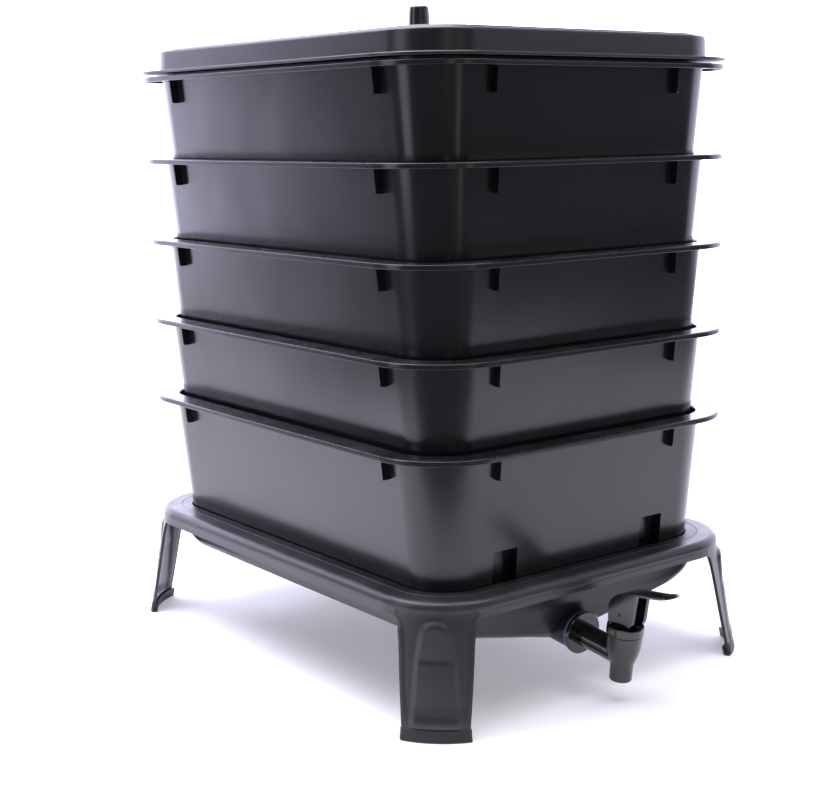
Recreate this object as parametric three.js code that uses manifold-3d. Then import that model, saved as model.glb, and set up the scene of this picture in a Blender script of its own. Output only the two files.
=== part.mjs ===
import * as THREE from 'three';
import Module from 'manifold-3d';

// Wormery: five nesting trays under a lid, over a sump hung in a stand with four legs and a tap.
// Millimetres, +Z up, -Y is the tap side. Depths are measured down from a tray's rim top, and an
// inset is measured inwards from the trays' outer rim outline.

// Sizes of the outline that every storey shares
const rimHalfX = 190;
const rimHalfY = 252.4;
const rimCorner = 69;
const leastCorner = 6;
const cornerSteps = 6;
const roundSteps = 20;
const restGap = 0.3;
const tiny = 0.01;

// Sizes of one tray
const trayCount = 5;
const trayHeight = 126;
const trayPitch = 79;
const trayWall = 2.5;
const trayFloor = 2.6;
const wallInset = 19;
const wallDraftShare = 0.095;
const flangeThick = 2.5;
const lipDrop = 4.7;
const lipThick = 2.2;
const edgeRound = 0.9;
const edgeRoundShare = 0.3;
const gussetThick = 2.3;
const gussetReach = 7.2;
const gussetDrop = 25.5;
const gussetAlongX = 103;
const gussetAlongY = 169;
const nicheAlongX = 88;
const nicheWide = 27;
const nicheDeep = 12;
const nicheRoofDepth = 90.4;
const lugWide = 24;
const lugDeep = 13.5;
const lugNose = 3;
const lugDrop = 21;
const slotWide = 10;
const slotLong = 30;
const slotCols = 4;
const slotRows = 7;
const slotPitchX = 56;
const slotPitchY = 52;
const bite = 1;

// Sizes of the lid and its knob
const lidGap = 3;
const lidFlangeOver = 0.8;
const lidThick = 2.5;
const lidBodyInset = 17.5;
const lidBodyRise = 22.3;
const lidTopRound = 3;
const lidPlateauInset = 9;
const lidPlateauRise = 2;
const lidSkirtInset = 24.6;
const knobBaseRadius = 17;
const knobNeckRadius = 10.5;
const knobTopRadius = 9.5;
const knobHigh = 33.4;
const knobFlareShare = 0.45;
const knobRound = 1.6;
const screwRadius = 2;
const screwHeadRadius = 4.6;
const screwHeadThick = 3;
const screwBite = 14;
const screwClear = 0.3;
const washerRadius = 9;
const washerThick = 1.2;

// Sizes of the stand
const ringTop = 114.4;
const ringOver = 1;
const skirtDrop = 14.4;
const standWall = 2.8;
const rebateInset = 18;
const rebateDeep = 2.4;
const openingInset = 23.4;
const legFlareShare = 0.17;
const legWall = 3;
const legTopZ = 106;
const legMiddle = 45;
const legFoot = 3;
const legSteps = 6;
const legShape = [[legTopZ, 33], [100, 33], [96, 29.5], [90, 27.3], [80, 25.8], [40, 22.4]];
const legFootHalf = 19.2;
const ribShape = [
  [98.5, 3, 0.2], [96.5, 7.5, 1.4], [92, 10, 2.6], [66, 12.6, 1.6], [18, 14, 1.1], [11.5, 14, 1.1],
];
const ribBury = 1.5;
const footHigh = 10.7;
const footProud = 0.9;
const footWall = 2.2;
const footSole = 2.7;
const footExtra = 1.6;

// Sizes of the sump
const sumpWall = 2.5;
const sumpInset = 24;
const sumpTop = 104;
const sumpWallShape = [[0, 104], [0, 92], [3.5, 80], [9.6, 69], [15.5, 58], [22, 48], [32, 36], [42, 28]];
const sumpSideX = 166.5;
const sumpFillet = 25;
const sumpFilletZ = 93.5;
const sumpFilletEnd = 75;
const sumpFilletSteps = 5;
const sumpBendX = 60;
const sumpBendZ = 46.6;
const sumpKeelZ = 39;
const sumpKeelSteps = 3;
const sumpBandInset = 29.2;
const sumpLedgeInset = 34.5;
const sumpLedgeThick = 2.5;
const ledgeZ = 106.7;

// Sizes of the tap
const tapZ = 50.3;
const tapTilt = 7;
const bossInset = 31;
const bossFaceY = bossInset - rimHalfY;
const bossRadius = 18;
const bossBore = 15.5;
const bossLong = 44;
const gasketRadius = 18.75;
const gasketThick = 2.3;
const discRadius = 19.8;
const discThick = 4;
const tailRadius = 9.5;
const tailLong = 16;
const tailClear = 0.4;
const nutRadius = 14.2;
const nutThick = 8;
const sealRingThick = 1.5;
const shankRadius = 10.2;
const waterBore = 5.5;
const tapReach = 57;
const tapAxisY = bossFaceY - tapReach;
const bodyOuter = [
  [26.9, 10.1], [41.5, 10.5], [47, 12.2], [52, 13.9], [56.5, 14.9], [63, 15.7], [70.5, 16],
];
const nozzleBore = 7.6;
const seatTop = 45.8;
const seatThick = 4;
const seatBore = 5;
const valveRoomRadius = 8.6;
const chamberLow = 58;
const chamberRadius = 12;
const bonnetRadius = 16.5;
const bonnetTop = 78.3;
const bonnetRecess = 1.5;
const bonnetRimThick = 2;
const bonnetSpigotDrop = 6;
const springRoomRadius = 8;
const springRoomTop = 74.3;
const stemRadius = 3;
const stemClear = 0.35;
const stemCollarRadius = 6.5;
const stemCollarThick = 1.5;
const stemHeadHalf = 5.2;
const stemHeadLow = 83.5;
const stemHeadTop = 94.6;
const sealRadius = 7.5;
const sealThick = 3.5;
const springRadius = 5.6;
const springWire = 0.6;
const springTurns = 6;
const springSteps = 12;
const springSides = 5;
const pinZ = 89.5;
const pinRadius = 2;
const pinClear = 0.08;
const cheekInner = 5.6;
const leverHalfWide = 9;
const cheekShape = [[-13.4, -8.6], [-11.4, -10.9], [8, -10.9], [12.5, -8.2], [15, -2.5], [15.6, 6]];
const cheekTops = 6;
const leverRise = [
  [-14.3, 2], [-13.6, 7.6], [-10, 13.1], [-4, 17.7], [5.5, 22.2], [17.2, 25.9],
  [28.9, 28.7], [41.6, 32], [55.1, 37.1],
];
const leverTopLine = leverRise.map(([out, up]) => [tapAxisY - out, pinZ + up]);
const leverThick = 2.6;

const wasm = await Module();
wasm.setup();

// Solids from rings of points
function solidFrom(positions, triangles) {
  const vertProperties = new Float32Array(positions.flat());
  let volume = 0;
  for (const [a, b, c] of triangles) {
    const corner = new THREE.Vector3(...positions[a]);
    const cross = new THREE.Vector3(...positions[b]).cross(new THREE.Vector3(...positions[c]));
    volume += corner.dot(cross);
  }
  const outward = volume > 0 ? triangles : triangles.map(([a, b, c]) => [a, c, b]);
  const triVerts = new Uint32Array(outward.flat());
  return new wasm.Manifold(new wasm.Mesh({ numProp: 3, vertProperties, triVerts }));
}

function outlineRing(inset, z) {
  const corner = Math.max(rimCorner - inset, leastCorner);
  const centreX = rimHalfX - inset - corner;
  const centreY = rimHalfY - inset - corner;
  const ring = [];
  for (let quarter = 0; quarter < 4; quarter += 1) {
    const signX = quarter === 0 || quarter === 3 ? 1 : -1;
    const signY = quarter < 2 ? 1 : -1;
    for (let step = 0; step <= cornerSteps; step += 1) {
      const angle = (quarter + step / cornerSteps) * Math.PI / 2;
      ring.push([
        signX * centreX + corner * Math.cos(angle),
        signY * centreY + corner * Math.sin(angle),
        z,
      ]);
    }
  }
  return ring;
}

function bandTriangles(ringCount, size, closed) {
  const triangles = [];
  const last = closed ? ringCount : ringCount - 1;
  for (let row = 0; row < last; row += 1) {
    const next = (row + 1) % ringCount;
    for (let i = 0; i < size; i += 1) {
      const j = (i + 1) % size;
      triangles.push([row * size + i, row * size + j, next * size + j]);
      triangles.push([row * size + i, next * size + j, next * size + i]);
    }
  }
  return triangles;
}

function capTriangles(positions, start, size, flip) {
  const ring = positions.slice(start, start + size);
  const upright = ring.every(([x]) => Math.abs(x - ring[0][0]) < tiny);
  const contour = ring.map(([x, y, z]) => (upright ? new THREE.Vector2(y, z) : new THREE.Vector2(x, y)));
  const faces = THREE.ShapeUtils.triangulateShape(contour, []);
  return faces.map(([a, b, c]) => (flip
    ? [start + a, start + c, start + b]
    : [start + a, start + b, start + c]));
}

function orientedCaps(rings) {
  const size = rings[0].length;
  const positions = rings.flat();
  const sides = bandTriangles(rings.length, size, false);
  const top = (rings.length - 1) * size;
  const lower = capTriangles(positions, 0, size, true);
  const upper = capTriangles(positions, top, size, false);
  const used = new Set(sides.map((t) => [`${t[0]},${t[1]}`, `${t[1]},${t[2]}`, `${t[2]},${t[0]}`]).flat());
  const matched = (faces) => {
    const clash = faces.some((t) => used.has(`${t[0]},${t[1]}`) || used.has(`${t[1]},${t[2]}`)
      || used.has(`${t[2]},${t[0]}`));
    return clash ? faces.map(([a, b, c]) => [a, c, b]) : faces;
  };
  return solidFrom(positions, [...sides, ...matched(lower), ...matched(upper)]);
}

function capped(profile) {
  return orientedCaps(profile.map(([inset, z]) => outlineRing(inset, z)));
}

function hoop(profile) {
  const rings = profile.map(([inset, z]) => outlineRing(inset, z));
  return solidFrom(rings.flat(), bandTriangles(rings.length, rings[0].length, true));
}

function fromGeometry(geometry) {
  const position = geometry.getAttribute('position');
  const keys = new Map();
  const points = [];
  const remap = [];
  for (let i = 0; i < position.count; i += 1) {
    const point = [position.getX(i), position.getY(i), position.getZ(i)];
    const key = point.map((value) => Math.round(value / tiny * 10)).join(',');
    if (!keys.has(key)) {
      keys.set(key, points.length);
      points.push(point);
    }
    remap.push(keys.get(key));
  }
  const order = geometry.index ? Array.from(geometry.index.array) : remap.map((_, i) => i);
  const triangles = [];
  for (let i = 0; i < order.length; i += 3) {
    const [a, b, c] = [remap[order[i]], remap[order[i + 1]], remap[order[i + 2]]];
    if (a !== b && b !== c && c !== a) {
      triangles.push([a, b, c]);
    }
  }
  return solidFrom(points, triangles);
}

function box(low, high) {
  const size = high.map((value, i) => value - low[i]);
  const geometry = new THREE.BoxGeometry(...size);
  geometry.translate(...low.map((value, i) => value + size[i] / 2));
  return fromGeometry(geometry);
}

// A turned solid about the upright axis at (0, y). The profile holds [z, radius] pairs.
function turned(profile, y, steps = roundSteps) {
  const points = profile.map(([z, radius]) => new THREE.Vector2(radius, z));
  const geometry = new THREE.LatheGeometry([...points, points[0]], steps);
  geometry.rotateX(Math.PI / 2);
  geometry.translate(0, y, 0);
  return fromGeometry(geometry);
}

// A disc, sleeve or bar lying along Y between two places, at the tap's height
function alongY(radius, fromY, toY, steps = roundSteps) {
  const geometry = new THREE.CylinderGeometry(radius, radius, Math.abs(toY - fromY), steps);
  geometry.translate(0, (fromY + toY) / 2, 0);
  return fromGeometry(geometry).translate([0, 0, tapZ]);
}

// The tap is drawn upright, then leans about the middle of the boss's face
function tilted(solid) {
  const leaning = solid.translate([0, -bossFaceY, -tapZ]).rotate([tapTilt, 0, 0]);
  return leaning.translate([0, bossFaceY, tapZ]);
}

function alongX(radius, half, y, z, steps = roundSteps) {
  const geometry = new THREE.CylinderGeometry(radius, radius, half * 2, steps);
  geometry.rotateZ(Math.PI / 2);
  geometry.translate(0, y, z);
  return fromGeometry(geometry);
}

function prismAlongX(outline, fromX, toX) {
  const rings = [fromX, toX].map((x) => outline.map(([y, z]) => [x, y, z]));
  return orientedCaps(rings);
}

function prismAlongY(outline, fromY, toY) {
  return prismAlongX(outline.map(([x, z]) => [-x, z]), fromY, toY).rotate([0, 0, 90]);
}

function union(solids) {
  return solids.reduce((sum, solid) => sum.add(solid));
}

// One tray
const wallAt = (depth) => wallInset + wallDraftShare * depth;

function traySide(outline, half, centre, sign) {
  return prismAlongX(outline.map(([inset, z]) => [-(rimHalfY - inset), z]), centre - half, centre + half)
    .rotate([0, 0, sign > 0 ? 180 : 0]);
}

function trayShell() {
  const inner = (depth) => wallAt(depth) + trayWall;
  const floorTop = trayHeight - trayFloor;
  return capped([
    [wallAt(trayHeight), -trayHeight],
    [wallAt(flangeThick), -flangeThick],
    [lipThick, -flangeThick],
    [lipThick, -lipDrop],
    [edgeRound * edgeRoundShare, -lipDrop],
    [0, edgeRound - lipDrop],
    [0, -edgeRound],
    [edgeRound * edgeRoundShare, -edgeRound * edgeRoundShare],
    [edgeRound, 0],
    [inner(0), 0],
    [inner(floorTop), -floorTop],
  ]);
}

function gussetOutline() {
  const reach = wallInset - gussetReach;
  const drift = wallDraftShare * gussetDrop;
  return [
    [reach, bite - flangeThick],
    [reach + drift, -gussetDrop],
    [wallInset + drift + bite, -gussetDrop],
    [wallInset + bite, bite - flangeThick],
  ];
}

function trayGussets() {
  const half = gussetThick / 2;
  const outline = gussetOutline();
  const gussets = [];
  for (const along of [-1, 1]) {
    for (const sign of [-1, 1]) {
      gussets.push(traySide(outline, half, along * gussetAlongX, sign));
      const plate = outline.map(([inset, z]) => [sign * (rimHalfX - inset), z]);
      gussets.push(prismAlongY(plate, along * gussetAlongY - half, along * gussetAlongY + half));
    }
  }
  return gussets;
}

function nicheOutline(wall) {
  const back = wallAt(nicheRoofDepth) + nicheDeep + wall;
  const roof = wall - nicheRoofDepth;
  if (wall === 0) {
    const low = -trayHeight - bite;
    return [[wallInset, low], [back, low], [back, roof], [wallInset, roof]];
  }
  return [
    [wallAt(trayHeight) + bite, -trayHeight],
    [back, -trayHeight],
    [back, roof],
    [wallAt(nicheRoofDepth) + bite, roof],
  ];
}

function lugOutline() {
  const top = -nicheRoofDepth + trayPitch;
  const face = wallAt(-top) + trayWall;
  const root = wallAt(lugDrop - top) + trayWall - bite;
  const nose = face + lugDeep;
  return [[face - bite, top], [root, top - lugDrop], [nose, top - lugNose], [nose, top]];
}

function traySides(outline, half) {
  const solids = [];
  for (const along of [-1, 1]) {
    for (const sign of [-1, 1]) {
      solids.push(traySide(outline, half, along * nicheAlongX, sign));
    }
  }
  return solids;
}

function floorSlots() {
  const slots = [];
  for (let col = 0; col < slotCols; col += 1) {
    for (let row = 0; row < slotRows; row += 1) {
      const x = (col - (slotCols - 1) / 2) * slotPitchX;
      const y = (row - (slotRows - 1) / 2) * slotPitchY;
      slots.push(box(
        [x - slotWide / 2, y - slotLong / 2, -trayHeight - bite],
        [x + slotWide / 2, y + slotLong / 2, trayFloor - trayHeight + bite],
      ));
    }
  }
  return slots;
}

function trayAtRest() {
  const filled = union([
    trayShell(),
    ...trayGussets(),
    ...traySides(nicheOutline(trayWall), nicheWide / 2 + trayWall),
    ...traySides(lugOutline(), lugWide / 2),
  ]);
  return filled
    .subtract(union(traySides(nicheOutline(0), nicheWide / 2)))
    .subtract(union(floorSlots()));
}

const rimTopOf = (storey) => ledgeZ + restGap + trayHeight + storey * (trayPitch + restGap);

// The lid, its knob and the screw that holds it
const topRim = rimTopOf(trayCount - 1);
const lidLow = topRim + lidGap;
const lidTop = lidLow + lidBodyRise;
const lidSummit = lidTop + lidPlateauRise;
const skirtLow = topRim - nicheRoofDepth + trayPitch + restGap;

function lidShell() {
  const inside = lidBodyInset + lidThick;
  const skirtInner = lidSkirtInset + lidThick;
  const summitInset = lidBodyInset + lidPlateauInset;
  const shell = capped([
    [summitInset + lidPlateauRise, lidSummit],
    [summitInset, lidTop],
    [lidBodyInset + lidTopRound, lidTop],
    [lidBodyInset + lidTopRound * edgeRoundShare, lidTop - lidTopRound * edgeRoundShare],
    [lidBodyInset, lidTop - lidTopRound],
    [lidBodyInset, lidLow + lidThick],
    [edgeRound - lidFlangeOver, lidLow + lidThick],
    [-lidFlangeOver, lidLow + lidThick - edgeRound],
    [-lidFlangeOver, lidLow],
    [lidSkirtInset, lidLow],
    [lidSkirtInset, skirtLow],
    [skirtInner, skirtLow],
    [skirtInner, lidLow + lidThick],
    [inside, lidLow + lidThick],
    [inside, lidTop - lidTopRound],
    [inside + lidTopRound, lidTop - lidThick],
    [summitInset + lidThick, lidTop - lidThick],
    [summitInset + lidPlateauRise + lidThick, lidSummit - lidThick],
  ]);
  const hole = turned([
    [lidTop - lidThick - bite, 0],
    [lidTop - lidThick - bite, screwRadius + screwClear],
    [lidSummit + bite, screwRadius + screwClear],
    [lidSummit + bite, 0],
  ], 0);
  return shell.subtract(hole);
}

const knobLow = lidSummit + restGap;

function knob() {
  const top = knobLow + knobHigh;
  const flareTop = knobLow + knobHigh * knobFlareShare;
  const drillTop = knobLow + screwBite + screwClear;
  const drillRadius = screwRadius + screwClear;
  const mid = (knobBaseRadius + 2 * knobNeckRadius) / 3;
  return turned([
    [knobLow, drillRadius],
    [knobLow, knobBaseRadius],
    [knobLow + knobRound, knobBaseRadius],
    [knobLow + (flareTop - knobLow) * knobFlareShare, mid],
    [flareTop, knobNeckRadius],
    [top - knobRound, knobTopRadius],
    [top - knobRound * edgeRoundShare, knobTopRadius - knobRound * edgeRoundShare],
    [top, knobTopRadius - knobRound],
    [top, 0],
    [drillTop, 0],
    [drillTop, drillRadius],
  ], 0);
}

const washerTop = lidSummit - lidThick - restGap;

function knobWasher() {
  const hole = screwRadius + screwClear;
  return turned([
    [washerTop - washerThick, hole],
    [washerTop - washerThick, washerRadius],
    [washerTop, washerRadius],
    [washerTop, hole],
  ], 0);
}

function knobScrew() {
  const headTop = washerTop - washerThick - restGap;
  const tip = knobLow + screwBite;
  return turned([
    [headTop - screwHeadThick, 0],
    [headTop - screwHeadThick, screwHeadRadius],
    [headTop, screwHeadRadius],
    [headTop, screwRadius],
    [tip - screwRadius, screwRadius],
    [tip, 0],
  ], 0);
}

// The stand: ring, skirt and four legs that flare out of its corners
function ringHoop() {
  const underTop = ringTop - standWall;
  const ledge = ringTop - rebateDeep;
  const skirtInner = standWall - ringOver;
  return hoop([
    [-ringOver, ringTop - skirtDrop],
    [-ringOver, ringTop - edgeRound],
    [edgeRound - ringOver, ringTop],
    [rebateInset, ringTop],
    [rebateInset, ledge],
    [openingInset, ledge],
    [openingInset, ledge - standWall],
    [rebateInset - standWall, ledge - standWall],
    [rebateInset - standWall, underTop],
    [skirtInner, underTop],
    [skirtInner, ringTop - skirtDrop],
  ]);
}

const skirtRadius = rimCorner + ringOver;
const legOuter = (z) => skirtRadius + legFlareShare * Math.max(ringTop - skirtDrop - z, 0);

// An upright curved slab at one corner. Each section is [z, half angle in degrees, outer, inner].
function cornerSlab(sections, signX, signY) {
  const rings = sections.map(([z, half, outer, inner]) => {
    const ring = [];
    for (let step = 0; step <= legSteps; step += 1) {
      ring.push(polar(outer, legMiddle - half + 2 * half * step / legSteps, z, signX, signY));
    }
    for (let step = legSteps; step >= 0; step -= 1) {
      ring.push(polar(inner, legMiddle - half + 2 * half * step / legSteps, z, signX, signY));
    }
    return ring;
  });
  return orientedCaps(rings);
}

function polar(radius, degrees, z, signX, signY) {
  const angle = THREE.MathUtils.degToRad(degrees);
  return [
    signX * (rimHalfX - rimCorner + radius * Math.cos(angle)),
    signY * (rimHalfY - rimCorner + radius * Math.sin(angle)),
    z,
  ];
}

function leg(signX, signY) {
  const walls = [...legShape, [legFoot, legFootHalf]].map(([z, half]) => {
    const outer = legOuter(z) - (z > ringTop - skirtDrop ? tiny : 0);
    return [z, half, outer, legOuter(z) - legWall];
  });
  const ribs = ribShape.map(([z, half, proud]) => [z, half, legOuter(z) + proud, legOuter(z) - ribBury]);
  return cornerSlab(walls, signX, signY).add(cornerSlab(ribs, signX, signY));
}

const corners = [[-1, -1], [1, -1], [1, 1], [-1, 1]];

function baseStand() {
  return union([ringHoop(), ...corners.map(([signX, signY]) => leg(signX, signY))]);
}

function foot(signX, signY) {
  const half = legFootHalf + footExtra;
  const outer = (z) => legOuter(z) + restGap + footProud;
  const inner = (z) => legOuter(z) - legWall - restGap - footWall;
  const block = cornerSlab([
    [0, half, outer(0), inner(0)],
    [footHigh, half, outer(footHigh), inner(footHigh)],
  ], signX, signY);
  const gap = half - footExtra / 2;
  const groove = cornerSlab([footSole, footHigh + bite].map((z) => [
    z, gap, legOuter(z) + restGap, legOuter(z) - legWall - restGap,
  ]), signX, signY);
  return block.subtract(groove);
}

// The sump: a tub with a sloping keel, cut where two shapes cross
function sumpCross(shrink) {
  const half = [];
  const radius = sumpFillet - shrink;
  for (let step = 0; step <= sumpFilletSteps; step += 1) {
    const angle = THREE.MathUtils.degToRad(-sumpFilletEnd * step / sumpFilletSteps);
    half.push([sumpSideX - sumpFillet + radius * Math.cos(angle), sumpFilletZ + radius * Math.sin(angle)]);
  }
  const curve = (sumpBendZ - sumpKeelZ) / (sumpBendX * sumpBendX);
  for (let step = sumpKeelSteps; step >= 1; step -= 1) {
    const x = sumpBendX * step / sumpKeelSteps;
    const slope = Math.atan(2 * curve * x);
    half.push([x - shrink * Math.sin(slope), sumpKeelZ + curve * x * x + shrink * Math.cos(slope)]);
  }
  const over = sumpTop + (shrink > 0 ? 2 * bite : 0);
  const right = [[rimHalfX, over], [rimHalfX, sumpFilletZ], ...half];
  right[1] = [half[0][0], over];
  const left = right.slice(1).reverse().map(([x, z]) => [-x, z]);
  return [...right.slice(1), [0, sumpKeelZ + shrink], ...left];
}

function sumpBulk(shrink) {
  const over = shrink > 0 ? 2 * bite : 0;
  const walls = sumpWallShape.map(([more, z], i) => [sumpInset + more + shrink, z + (i === 0 ? over : 0)]);
  const long = prismAlongY(sumpCross(shrink), -rimHalfY, rimHalfY);
  return capped(walls).intersect(long);
}

function sumpRim() {
  const flangeLow = ringTop - rebateDeep + restGap;
  return hoop([
    [rebateInset + restGap, flangeLow],
    [rebateInset + restGap, ringTop],
    [sumpBandInset, ringTop],
    [sumpBandInset, ledgeZ],
    [sumpLedgeInset, ledgeZ],
    [sumpLedgeInset, ledgeZ - sumpLedgeThick],
    [sumpInset + sumpWall, sumpTop - sumpLedgeThick],
    [sumpInset, sumpTop - sumpLedgeThick],
    [sumpInset, flangeLow],
  ]);
}

function sump() {
  const bossBack = bossFaceY + bossLong;
  const boss = tilted(alongY(bossRadius, bossFaceY, bossBack));
  const bore = tilted(alongY(bossBore, bossFaceY + sumpWall, bossBack - sumpWall));
  const hole = tilted(alongY(tailRadius + tailClear, bossFaceY - bite, bossFaceY + sumpWall + bite));
  return sumpBulk(0).add(boss)
    .subtract(sumpBulk(sumpWall))
    .subtract(bore)
    .subtract(hole)
    .add(sumpRim());
}

// The tap
const gasketOut = bossFaceY - restGap;
const discIn = gasketOut - gasketThick - restGap;
const sealRingIn = bossFaceY + sumpWall + restGap;
const nutIn = sealRingIn + sealRingThick + restGap;
const bodyTop = bodyOuter[bodyOuter.length - 1][0];

function sleeve(radius, fromY, toY, steps) {
  const hole = alongY(tailRadius + tailClear, Math.min(fromY, toY) - bite, Math.max(fromY, toY) + bite);
  return alongY(radius, fromY, toY, steps).subtract(hole);
}

function tapBody() {
  const seatLow = seatTop - seatThick;
  const outer = turned([[bodyOuter[0][0], 0], ...bodyOuter, [bodyTop, 0]], tapAxisY);
  const bores = turned([
    [bodyOuter[0][0] - bite, 0],
    [bodyOuter[0][0] - bite, nozzleBore],
    [seatLow, nozzleBore],
    [seatLow, seatBore],
    [seatTop, seatBore],
    [seatTop, valveRoomRadius],
    [chamberLow, valveRoomRadius],
    [chamberLow, chamberRadius],
    [bodyTop + bite, chamberRadius],
    [bodyTop + bite, 0],
  ], tapAxisY);
  return union([
    outer,
    alongY(shankRadius, tapAxisY, discIn - discThick / 2),
    alongY(discRadius, discIn - discThick, discIn),
    alongY(tailRadius, discIn - discThick / 2, bossFaceY + tailLong),
  ]).subtract(bores).subtract(alongY(waterBore, tapAxisY, bossFaceY + tailLong + bite));
}

function bonnet() {
  const low = bodyTop + restGap;
  const spigot = chamberRadius - restGap;
  const stemHole = stemRadius + stemClear;
  const recess = bonnetTop - bonnetRecess;
  return turned([
    [low - bonnetSpigotDrop, springRoomRadius],
    [low - bonnetSpigotDrop, spigot],
    [low, spigot],
    [low, bonnetRadius],
    [bonnetTop - edgeRound, bonnetRadius],
    [bonnetTop, bonnetRadius - edgeRound],
    [bonnetTop, bonnetRadius - bonnetRimThick],
    [recess, bonnetRadius - bonnetRimThick],
    [recess, stemHole],
    [springRoomTop, stemHole],
    [springRoomTop, springRoomRadius],
  ], tapAxisY);
}

const sealLow = seatTop + restGap;
const stemLow = sealLow + sealThick + restGap;
const springLow = stemLow + stemCollarThick + restGap;

function stem() {
  const rod = turned([
    [stemLow, 0],
    [stemLow, stemCollarRadius],
    [stemLow + stemCollarThick, stemCollarRadius],
    [stemLow + stemCollarThick, stemRadius],
    [stemHeadLow + bite, stemRadius],
    [stemHeadLow + bite, 0],
  ], tapAxisY);
  const head = box(
    [-stemHeadHalf, tapAxisY - stemHeadHalf, stemHeadLow],
    [stemHeadHalf, tapAxisY + stemHeadHalf, stemHeadTop],
  );
  return rod.add(head).subtract(alongX(pinRadius + pinClear, leverHalfWide, tapAxisY, pinZ));
}

function valveSeal() {
  return turned([
    [sealLow, 0],
    [sealLow, sealRadius],
    [sealLow + sealThick, sealRadius],
    [sealLow + sealThick, 0],
  ], tapAxisY);
}

function spring() {
  const low = springLow + springWire;
  const high = springRoomTop - restGap - springWire;
  const count = springTurns * springSteps;
  const rings = [];
  for (let i = 0; i <= count; i += 1) {
    const turn = 2 * Math.PI * i / springSteps;
    const centreZ = low + (high - low) * i / count;
    const ring = [];
    for (let side = 0; side < springSides; side += 1) {
      const angle = 2 * Math.PI * side / springSides;
      const radius = springRadius + springWire * Math.cos(angle);
      const z = centreZ + springWire * Math.sin(angle);
      ring.push([radius * Math.cos(turn), tapAxisY + radius * Math.sin(turn), z]);
    }
    rings.push(ring);
  }
  const fan = (start) => {
    const faces = [];
    for (let side = 1; side < springSides - 1; side += 1) {
      faces.push([start, start + side, start + side + 1]);
    }
    return faces;
  };
  const sides = bandTriangles(rings.length, springSides, false);
  const first = fan(0).map(([a, b, c]) => [a, c, b]);
  return solidFrom(rings.flat(), [...sides, ...first, ...fan(count * springSides)]);
}

function cheekOutline() {
  const round = cheekShape.map(([out, up]) => [tapAxisY - out, pinZ + up]);
  const under = leverTopLine.slice(0, cheekTops).map(([y, z]) => [y, z - bite]);
  return [...round, ...under.reverse()];
}

function lever() {
  const below = leverTopLine.map(([y, z], i) => {
    const [beforeY, beforeZ] = leverTopLine[Math.max(i - 1, 0)];
    const [afterY, afterZ] = leverTopLine[Math.min(i + 1, leverTopLine.length - 1)];
    const run = Math.hypot(afterY - beforeY, afterZ - beforeZ);
    return [y - leverThick * (afterZ - beforeZ) / run, z - leverThick * (beforeY - afterY) / run];
  });
  const web = prismAlongX([...leverTopLine, ...below.reverse()], -leverHalfWide, leverHalfWide);
  const cheeks = [-1, 1].map((sign) => prismAlongX(
    cheekOutline(),
    Math.min(sign * cheekInner, sign * leverHalfWide),
    Math.max(sign * cheekInner, sign * leverHalfWide),
  ));
  const tipY = leverTopLine[leverTopLine.length - 1][0];
  const plan = new THREE.CylinderGeometry(leverHalfWide, leverHalfWide, bonnetTop, roundSteps);
  plan.rotateX(Math.PI / 2);
  plan.translate(0, tipY + leverHalfWide, pinZ);
  const straight = box(
    [-leverHalfWide, tipY + leverHalfWide, pinZ - bonnetTop],
    [leverHalfWide, tapAxisY + bonnetRadius, pinZ + bonnetTop],
  );
  return union([web, ...cheeks])
    .intersect(fromGeometry(plan).add(straight))
    .subtract(alongX(pinRadius + pinClear, rimHalfX, tapAxisY, pinZ));
}

function leverPin() {
  return alongX(pinRadius, leverHalfWide, tapAxisY, pinZ);
}

// Every piece gets its own mesh
const part = new THREE.Group();
part.name = 'wormery';

function addPiece(name, solid) {
  const mesh = solid.getMesh();
  const stride = mesh.numProp;
  const points = [];
  for (let i = 0; i < mesh.vertProperties.length; i += stride) {
    points.push(mesh.vertProperties[i], mesh.vertProperties[i + 1], mesh.vertProperties[i + 2]);
  }
  const geometry = new THREE.BufferGeometry();
  geometry.setAttribute('position', new THREE.Float32BufferAttribute(points, 3));
  geometry.setIndex(Array.from(mesh.triVerts));
  geometry.computeVertexNormals();
  const piece = new THREE.Mesh(geometry, new THREE.MeshStandardMaterial({ color: 0x3a3a3e }));
  piece.name = name;
  part.add(piece);
}

addPiece('base_stand', baseStand());
const footNames = ['foot_front_left', 'foot_front_right', 'foot_back_right', 'foot_back_left'];
corners.forEach(([signX, signY], i) => addPiece(footNames[i], foot(signX, signY)));
addPiece('sump', sump());
const trayModel = trayAtRest();
for (let storey = 0; storey < trayCount; storey += 1) {
  addPiece(`tray_${trayCount - storey}`, trayModel.translate([0, 0, rimTopOf(storey)]));
}
addPiece('lid', lidShell());
addPiece('lid_knob', knob());
addPiece('knob_washer', knobWasher());
addPiece('knob_screw', knobScrew());
const tapPieces = {
  tap_body: tapBody(),
  tap_gasket: sleeve(gasketRadius, gasketOut - gasketThick, gasketOut),
  tap_seal_ring: sleeve(nutRadius, sealRingIn, sealRingIn + sealRingThick),
  tap_nut: sleeve(nutRadius, nutIn, nutIn + nutThick, 6),
  tap_bonnet: bonnet(),
  tap_stem: stem(),
  tap_valve_seal: valveSeal(),
  tap_spring: spring(),
  tap_lever: lever(),
  lever_pin: leverPin(),
};
Object.entries(tapPieces).forEach(([name, solid]) => addPiece(name, tilted(solid)));

// The origin goes to the middle of the floor under the whole object
const extent = new THREE.Box3().setFromObject(part);
const middle = extent.getCenter(new THREE.Vector3());
for (const piece of part.children) {
  piece.geometry.translate(-middle.x, -middle.y, 0);
}

export default part;
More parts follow.
